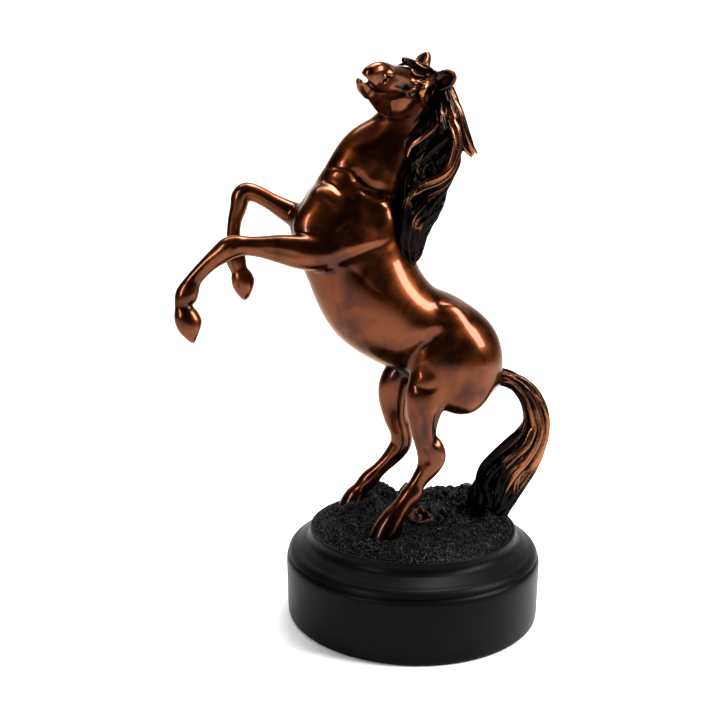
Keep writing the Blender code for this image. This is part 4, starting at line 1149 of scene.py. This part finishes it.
def lay_lock(field, guide, points, width, thickness, count, chance, tip=LOCK_TIP):
    """A lock of hair as a sheaf of thin strands that run side by side and drift over each other."""
    rows = refine(points, 5)
    thick, wide = tapered(rows, width, thickness, tip)
    if isinstance(guide, Guide):
        outward = guide.outward(rows)
    else:
        outward = unit(rows - guide)
    across = unit(np.cross(outward, unit(np.gradient(rows, axis=0))))
    field.sweep(np.column_stack([rows, 0.72 * thick, 0.90 * wide, outward]), 0.0)
    t = np.linspace(0, 1, len(rows))
    for index in range(count):
        place = (2.0 * index + 1.0) / count - 1.0
        drift = 0.9 / count * np.sin(2 * math.pi * (chance.uniform(0.8, 1.7) * t + chance.uniform(0, 1)))
        lift = math.sqrt(1 - 0.8 * place * place) * (0.62 + chance.uniform(-0.12, 0.16))
        strand = rows + across * (wide * (0.86 * place + drift))[:, None] + outward * (thick * lift)[:, None]
        size = np.maximum(wide / count * 0.92, 0.30)
        field.sweep(np.column_stack([strand, size, size, outward]), 0.12)
    return rows


def accent_of(points, copper):
    """How close each point is to the copper-lit locks, 0 to 1."""
    made = np.zeros(len(points))
    for strength, width, rows in copper:
        nearest = np.full(len(points), 1e9)
        for row in rows:
            nearest = np.minimum(nearest, ((points - row) ** 2).sum(1))
        made = np.maximum(made, strength * np.exp(-nearest / (1.25 * width + 0.6) ** 2))
    return made


# Tiers of locks that cover a mass of hair: where they start, how long they run, how many, half width
MANE_TIERS = (
    (0.0, 0.4, 15, 1.9), (0.1, 0.4, 15, 1.8), (0.22, 0.4, 16, 1.9), (0.36, 0.42, 16, 1.9),
    (0.5, 0.42, 15, 1.9), (0.62, 0.4, 14, 1.8), (0.74, 0.27, 12, 1.6),
)
TAIL_TIERS = (
    (0.0, 0.62, 9, 1.6), (0.18, 0.6, 12, 1.8), (0.4, 0.52, 14, 1.9), (0.56, 0.46, 16, 2.0),
    (0.72, 0.3, 17, 1.9),
)


def cover(hair, guide, tiers, chance, first, spread, sway, gather):
    """Lays tiers of wavy locks around a mass of hair, like tiles, from its root down."""
    for tier, (start, length, count, width) in enumerate(tiers):
        for index in range(count):
            place = index + 0.5 * (tier % 2) + chance.uniform(-0.25, 0.25)
            angle = math.radians(first + (spread / count) * place)
            t = np.linspace(0, 1, 8)
            phase = 2 * math.pi * (1.15 * t + 0.35 * tier) + 0.5 * index + chance.uniform(-0.7, 0.7)
            wave = sway * (0.4 + start) * np.sin(phase)
            share = np.clip(start + chance.uniform(-0.04, 0.05) + length * chance.uniform(0.8, 1.1) * t, 0, 1)
            reach = 0.84 + chance.uniform(-0.03, 0.06) + 0.08 * np.sin(math.pi * t) + 0.08 * t ** 3
            points = guide.spot(share, angle + wave - gather * t, reach)
            lay_lock(hair, guide, points, width * chance.uniform(0.8, 1.15), 1.6, 3, chance)


def hair_mass(box, stations, fullness):
    """The solid core of a mass of hair, in its field, and the guide for the locks that cover it."""
    hair = Field(*box, HAIR_CELL)
    guide = Guide(stations)
    core = guide.rows[::4].copy()
    core[:, 3:] *= fullness
    hair.sweep(core, 0.0)
    return hair, guide


def lay_locks(hair, guide, locks, chance, tip):
    """Lays the drawn locks, and lists the accent, half width and rows of each."""
    copper = []
    for strength, width, thickness, points in locks:
        count = 5 if width > BROAD_LOCK else 4
        copper.append((strength, width, lay_lock(hair, guide, points, width, thickness, count, chance, tip)))
    return copper


def build_mane(look):
    hair, guide = hair_mass(MANE_BOX, MANE, 0.84)
    chance = np.random.default_rng(11)
    cover(hair, guide, MANE_TIERS, chance, -78.0, 336.0, 0.42, 0.25)
    copper = lay_locks(hair, guide, MANE_LOCKS, chance, 0.34)
    finish_hair(hair, "cast_mane", look, "mane_casting", copper)


def build_tail(look):
    hair, guide = hair_mass(TAIL_BOX, TAIL, 0.86)
    chance = np.random.default_rng(5)
    cover(hair, guide, TAIL_TIERS, chance, 0.0, 360.0, 0.22, 0.10)
    shifted = [(*lock, np.array(points) + TAIL_SHIFT) for *lock, points in TAIL_LOCKS]
    copper = lay_locks(hair, guide, shifted, chance, 0.3)
    copper += [(strength, width, refine(np.array(line), 6)) for strength, width, line in TAIL_GLOW]
    finish_hair(hair, "cast_tail", look, "tail_casting", copper, TAIL_SHADE)


def build_forelock(look):
    hair = Field(*FORELOCK_BOX, FORELOCK_CELL)
    copper = []
    chance = np.random.default_rng(3)
    for strength, width, thickness, points in FORELOCK:
        path = np.array(points) * HEAD_LENGTH
        rows = lay_lock(hair, HEAD_MIDDLE, path, width * HEAD_LENGTH, thickness * HEAD_LENGTH, 4, chance)
        copper.append((strength, width * HEAD_LENGTH, rows))
    points, quads = hair.surface()
    placed = points @ head_turn().T + np.array(POLL)
    new_piece("cast_forelock", placed, quads, look, ["forelock_casting"],
              hair.relief(points, 0.7), accent_of(points, copper))


def finish_hair(hair, name, look, node, copper, shade=()):
    hair.soften(1)
    points, quads = hair.surface()
    dark = shade_near(points, shade)
    accent = accent_of(points, copper) * (1 - np.clip(dark, 0, 1))
    new_piece(name, points, quads, look, [node], hair.relief(points, 0.8) - dark, accent)


# ---------------------------------------------------------------- plinth and ground
PLINTH_SIDES = 288
NOISE_CELLS = 64
# The ground: rings and points round, where the relief starts, and the heights of what lies on it
GROUND_RINGS, GROUND_TURNS = 130, 740
GROUND_LEVEL, ROCK_HEIGHT, CLOD_HEIGHT, WORM_HEIGHT = 44.3, 3.6, 2.6, 1.6
# The curl of earth that is rubbed to copper: middle, half widths, height
CURL_X, CURL_Y, CURL_ACROSS, CURL_ALONG, CURL_HEIGHT = 3.4, -3.7, 8.0, 4.8, 1.4


def arc(centre, radius, start, end, steps):
    """Points on an arc in (radius, height), angles in degrees from outward."""
    return [(centre[0] + radius * math.cos(math.radians(a)), centre[1] + radius * math.sin(math.radians(a)))
            for a in np.linspace(start, end, steps)]


def build_plinth(look):
    felt_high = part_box("felt_pad")[1]
    low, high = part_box("plinth")
    foot = high.x / MM
    rim_top = high.z / MM
    felt = felt_high.x / MM
    seat, cavity, ceiling, recess = 50.2, 47.0, 24.0, felt_high.z / MM + 0.35
    lip = 62.4
    profile = [
        (0.0, 35.0), (seat, 35.0), (seat, rim_top - 0.3), (seat + 0.3, rim_top),
        *arc((51.7 - 0.8, rim_top - 0.8), 0.8, 90.0, -10.0, 7),
        *arc((56.3, 42.5), 4.7, 186.0, 246.0, 8),
        (55.6, 37.7), (56.8, 37.0), (57.9, 36.4),
        *arc((57.8, 31.0), 5.0, 80.0, 19.0, 8),
        (lip, 32.5), (lip - 0.1, 32.1), (lip - 0.5, 31.8), (lip - 0.35, 31.4), (foot - 0.75, 31.0),
        (foot - 0.3, 30.2), (foot - 0.05, 29.0), (foot, 27.0), (foot - 0.15, 20.0),
        (foot - 0.4, 8.0), (foot - 0.6, 2.4), (foot - 0.9, 1.3), (foot - 1.7, low.z / MM),
        (felt + 0.35, low.z / MM), (felt + 0.35, recess), (cavity, recess), (cavity, ceiling), (0.0, ceiling),
    ]
    turned("turned_plinth", profile, look, ["plinth"])


def ring_faces(steps, turns):
    """Four-sided faces between rings of points, each ring turns points round."""
    i = np.arange(steps)[:, None] * turns
    j = np.arange(turns)[None, :]
    k = (j + 1) % turns
    return np.stack([i + j, i + turns + j, i + turns + k, i + k], 2).reshape(-1, 4)


def turned(name, profile, look, replaces):
    """A solid of revolution from a profile of (radius, height) that starts and ends on the axis."""
    turns = 2 * math.pi * np.arange(PLINTH_SIDES) / PLINTH_SIDES
    rings = np.array(profile[1:-1])
    radius, height = rings[:, :1], rings[:, 1:]
    points = np.stack([radius * np.cos(turns), radius * np.sin(turns), height + 0 * turns], 2).reshape(-1, 3)
    faces = ring_faces(len(rings) - 1, PLINTH_SIDES)
    top = np.arange(PLINTH_SIDES)
    bottom = (len(rings) - 1) * PLINTH_SIDES + np.arange(PLINTH_SIDES)[::-1]
    item = new_piece(name, points, faces, look, replaces, caps=[(top, (0, 0, 1)), (bottom, (0, 0, -1))])
    item.data.set_sharp_from_angle(angle=math.radians(42.0))


def value_noise(x, y, seed):
    """Smooth noise from 0 to 1 on a unit lattice, which repeats after NOISE_CELLS."""
    count = NOISE_CELLS
    table = np.random.default_rng(seed).random((count, count))
    i, j = np.floor(x).astype(int), np.floor(y).astype(int)
    fx, fy = x - i, y - j
    fx, fy = fx * fx * (3 - 2 * fx), fy * fy * (3 - 2 * fy)
    a, b = table[i % count, j % count], table[(i + 1) % count, j % count]
    c, d = table[i % count, (j + 1) % count], table[(i + 1) % count, (j + 1) % count]
    return (a * (1 - fx) + b * fx) * (1 - fy) + (c * (1 - fx) + d * fx) * fy


# Mounds on the ground: centre x, y, height, half widths
MOUNDS = (
    (-21.0, 25.0, 9.5, 7.5, 9.0), (-37.0, 22.0, 2.6, 6.0, 9.0), (-30.0, 11.5, 5.4, 8.0, 5.5),
    (-21.0, 13.5, 6.4, 7.0, 6.0), (-10.0, 32.0, 7.6, 9.0, 7.0), (4.0, 31.0, 8.4, 5.0, 6.5),
    (18.0, 31.0, 5.4, 9.0, 7.0), (32.0, 17.0, 10.0, 8.5, 10.0), (28.0, 27.0, 5.5, 8.0, 7.0),
    (4.0, 2.0, 3.4, 10.0, 7.0), (17.0, 2.0, 2.6, 7.0, 8.0), (-30.0, 4.0, 1.8, 8.0, 9.0),
    (38.0, -4.0, 2.6, 7.0, 9.0),
)


def ground_height(x, y):
    made = 0 * x
    for u, v, height, across, along in MOUNDS:
        made = np.maximum(made, height * np.exp(-((x - u) / across) ** 2 - ((y - v) / along) ** 2))
    return made


def worms(x, y, pitch, seed):
    """Curling ridges: a warped wave, 0 in the grooves and 1 on the crests."""
    turn = 2 * math.pi * value_noise(x / (2.6 * pitch) + 7.0, y / (2.6 * pitch) + 3.0, seed) * 1.6
    warp_x = 0.9 * pitch * (value_noise(x / pitch + 11.0, y / pitch, seed + 1) - 0.5)
    warp_y = 0.9 * pitch * (value_noise(x / pitch, y / pitch + 17.0, seed + 2) - 0.5)
    rate = 2 * math.pi / pitch
    wave = np.sin((x + warp_x) * np.cos(turn) * rate + (y + warp_y) * np.sin(turn) * rate)
    return 0.5 + 0.5 * wave


def build_ground(look):
    low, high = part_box("ground_casting")
    radius = high.x / MM
    rings, turns = GROUND_RINGS, GROUND_TURNS
    r = radius * (np.arange(rings + 1) / rings) ** 0.88
    r[0] = 0.12
    a = 2 * math.pi * np.arange(turns) / turns
    x, y = r[:, None] * np.cos(a), r[:, None] * np.sin(a)
    edge = np.clip((radius - r[:, None]) / 3.0, 0, 1)
    inner = edge * edge * (3 - 2 * edge)
    base = np.clip((radius - r[:, None]) / 12.0, 0, 1) ** 0.6 * ground_height(x, y)
    rocks = value_noise(x / 5.0 + 2.0, y / 5.0, 9) * (0.5 + 0.5 * value_noise(x / 2.2, y / 2.2 + 5.0, 10))
    clods = np.abs(value_noise(x / 3.4 + 9.0, y / 3.4 + 1.0, 14) - 0.5) * 2.0
    lumps = (ROCK_HEIGHT * rocks + CLOD_HEIGHT * clods) * np.clip(base / 3.0, 0.30, 1.0)
    crest = 0.78 * worms(x, y, 1.9, 5) + 0.22 * worms(x, y, 3.4, 25)
    sway = 2.6 * (value_noise(x / 4.0 + 3.0, y / 4.0 + 8.0, 31) - 0.5)
    ring = np.sqrt(((x - CURL_X + sway) / CURL_ACROSS) ** 2 + ((y - CURL_Y - sway) / CURL_ALONG) ** 2)
    eye = np.exp(-ring ** 2)
    crest = crest * (1 - eye) + eye * (0.5 + 0.5 * np.cos(2 * math.pi * 1.6 * ring))
    height = GROUND_LEVEL + inner * (base + lumps + CURL_HEIGHT * eye)
    height = height + (0.3 + 0.7 * inner) * WORM_HEIGHT * crest
    height = np.minimum(height, high.z / MM + 4.0)
    points = np.stack([x, y, height], 2).reshape(-1, 3)
    wall = points[-turns:].copy()
    wall[:, 2] = low.z / MM
    n = len(points)
    points = np.vstack([points, wall])
    faces = ring_faces(rings + 1, turns)
    # The relief marks the crests that get the painted grey glint
    relief = np.concatenate([(2 * crest - 1).ravel(), np.zeros(turns)])
    accent = np.concatenate([eye.ravel(), np.zeros(turns)])
    caps = [(np.arange(turns), (0, 0, 1)), (n + np.arange(turns)[::-1], (0, 0, -1))]
    new_piece("rough_ground", points, faces, look, ["ground_casting"],
              relief, accent, caps=caps)


# ---------------------------------------------------------------- studio
CAMERA_AT = Vector((-0.0921, -0.4333, 0.2107))
CAMERA_TOWARD = Vector((0.14666, 0.97210, -0.18309))
# The paper, in metres: its reach to each side and to the front, where its flat part ends, the radius of
# its bend, and its top
PAPER_SPREAD, PAPER_FLAT, PAPER_BEND, PAPER_TOP = 2.4, 0.75, 0.45, 2.2


def studio_item(name, data):
    item = bpy.data.objects.new(name, data)
    bpy.context.scene.collection.objects.link(item)
    return item


def aim(item, place, direction):
    item.location = place
    item.rotation_mode = "QUATERNION"
    item.rotation_quaternion = direction.to_track_quat("-Z", "Y")


def area_light(name, place, target, size, power):
    light = bpy.data.lights.new(name, "AREA")
    light.shape = "RECTANGLE"
    light.size, light.size_y = size
    light.energy = power
    aim(studio_item(name, light), place, Vector(target) - Vector(place))


def add_camera():
    camera = bpy.data.cameras.new("camera")
    camera.lens = 46.0
    camera.sensor_width = 36.0
    camera.clip_start = 0.01
    item = studio_item("camera", camera)
    aim(item, CAMERA_AT, CAMERA_TOWARD)
    bpy.context.scene.camera = item


def add_backdrop():
    """A sheet of pale paper that runs along the table, bends up and rises behind the statue."""
    look = Look("pale_paper", 0.0, 0.9)
    grain = look.noise(3.0, 4.0)
    look.colour(look.mix(grain, (0.93, 0.93, 0.93), (0.95, 0.95, 0.95)))
    profile = [(-PAPER_SPREAD, 0.0), (PAPER_FLAT, 0.0)]
    for t in np.linspace(0.1, math.pi / 2, 14):
        profile.append((PAPER_FLAT + PAPER_BEND * math.sin(t), PAPER_BEND - PAPER_BEND * math.cos(t)))
    profile.append((PAPER_FLAT + PAPER_BEND, PAPER_TOP))
    turn = Matrix.Rotation(math.atan2(-CAMERA_TOWARD.x, CAMERA_TOWARD.y), 3, "Z")
    points = []
    for along, height in profile:
        points += [turn @ Vector((side * PAPER_SPREAD, along, height)) for side in (-1, 1)]
    faces = [(2 * i, 2 * i + 1, 2 * i + 3, 2 * i + 2) for i in range(len(profile) - 1)]
    mesh = bpy.data.meshes.new("backdrop")
    mesh.from_pydata(points, [], faces)
    mesh.shade_smooth()
    mesh.materials.append(look.material)
    backdrop = studio_item("backdrop", mesh)


def build_studio():
    add_camera()
    add_backdrop()
    world = bpy.data.worlds.new("studio_air")
    bpy.context.scene.world = world
    world.use_nodes = True
    world.node_tree.nodes["Background"].inputs["Color"].default_value = (0.9, 0.95, 1.0, 1.0)
    world.node_tree.nodes["Background"].inputs["Strength"].default_value = 0.03

    middle = (-0.02, 0.0, 0.14)
    area_light("overhead", (0.14, 0.10, 0.95), middle, (0.42, 0.30), 9.0)
    area_light("window_right", (0.62, -0.30, 0.60), middle, (0.28, 0.5), 14.0)
    area_light("window_left", (-0.75, -0.50, 0.50), middle, (0.11, 0.5), 5.0)
    area_light("paper_wash", (0.0, 0.35, 1.5), (0.1, 0.9, 0.2), (1.6, 0.6), 25.0)
    bpy.context.scene.view_settings.view_transform = "Standard"


def main():
    copper = copper_look()
    hair = hair_look()
    build_body(copper)
    build_head(copper)
    build_mane(hair)
    build_tail(hair)
    build_forelock(hair)
    build_plinth(black_look())
    build_ground(ground_look())
    felt, steel = felt_look(), steel_look()
    for name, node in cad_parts.items():
        if not node.hide_render:
            node.data.materials.clear()
            node.data.materials.append(felt if name == "felt_pad" else steel)
    build_studio()


main()
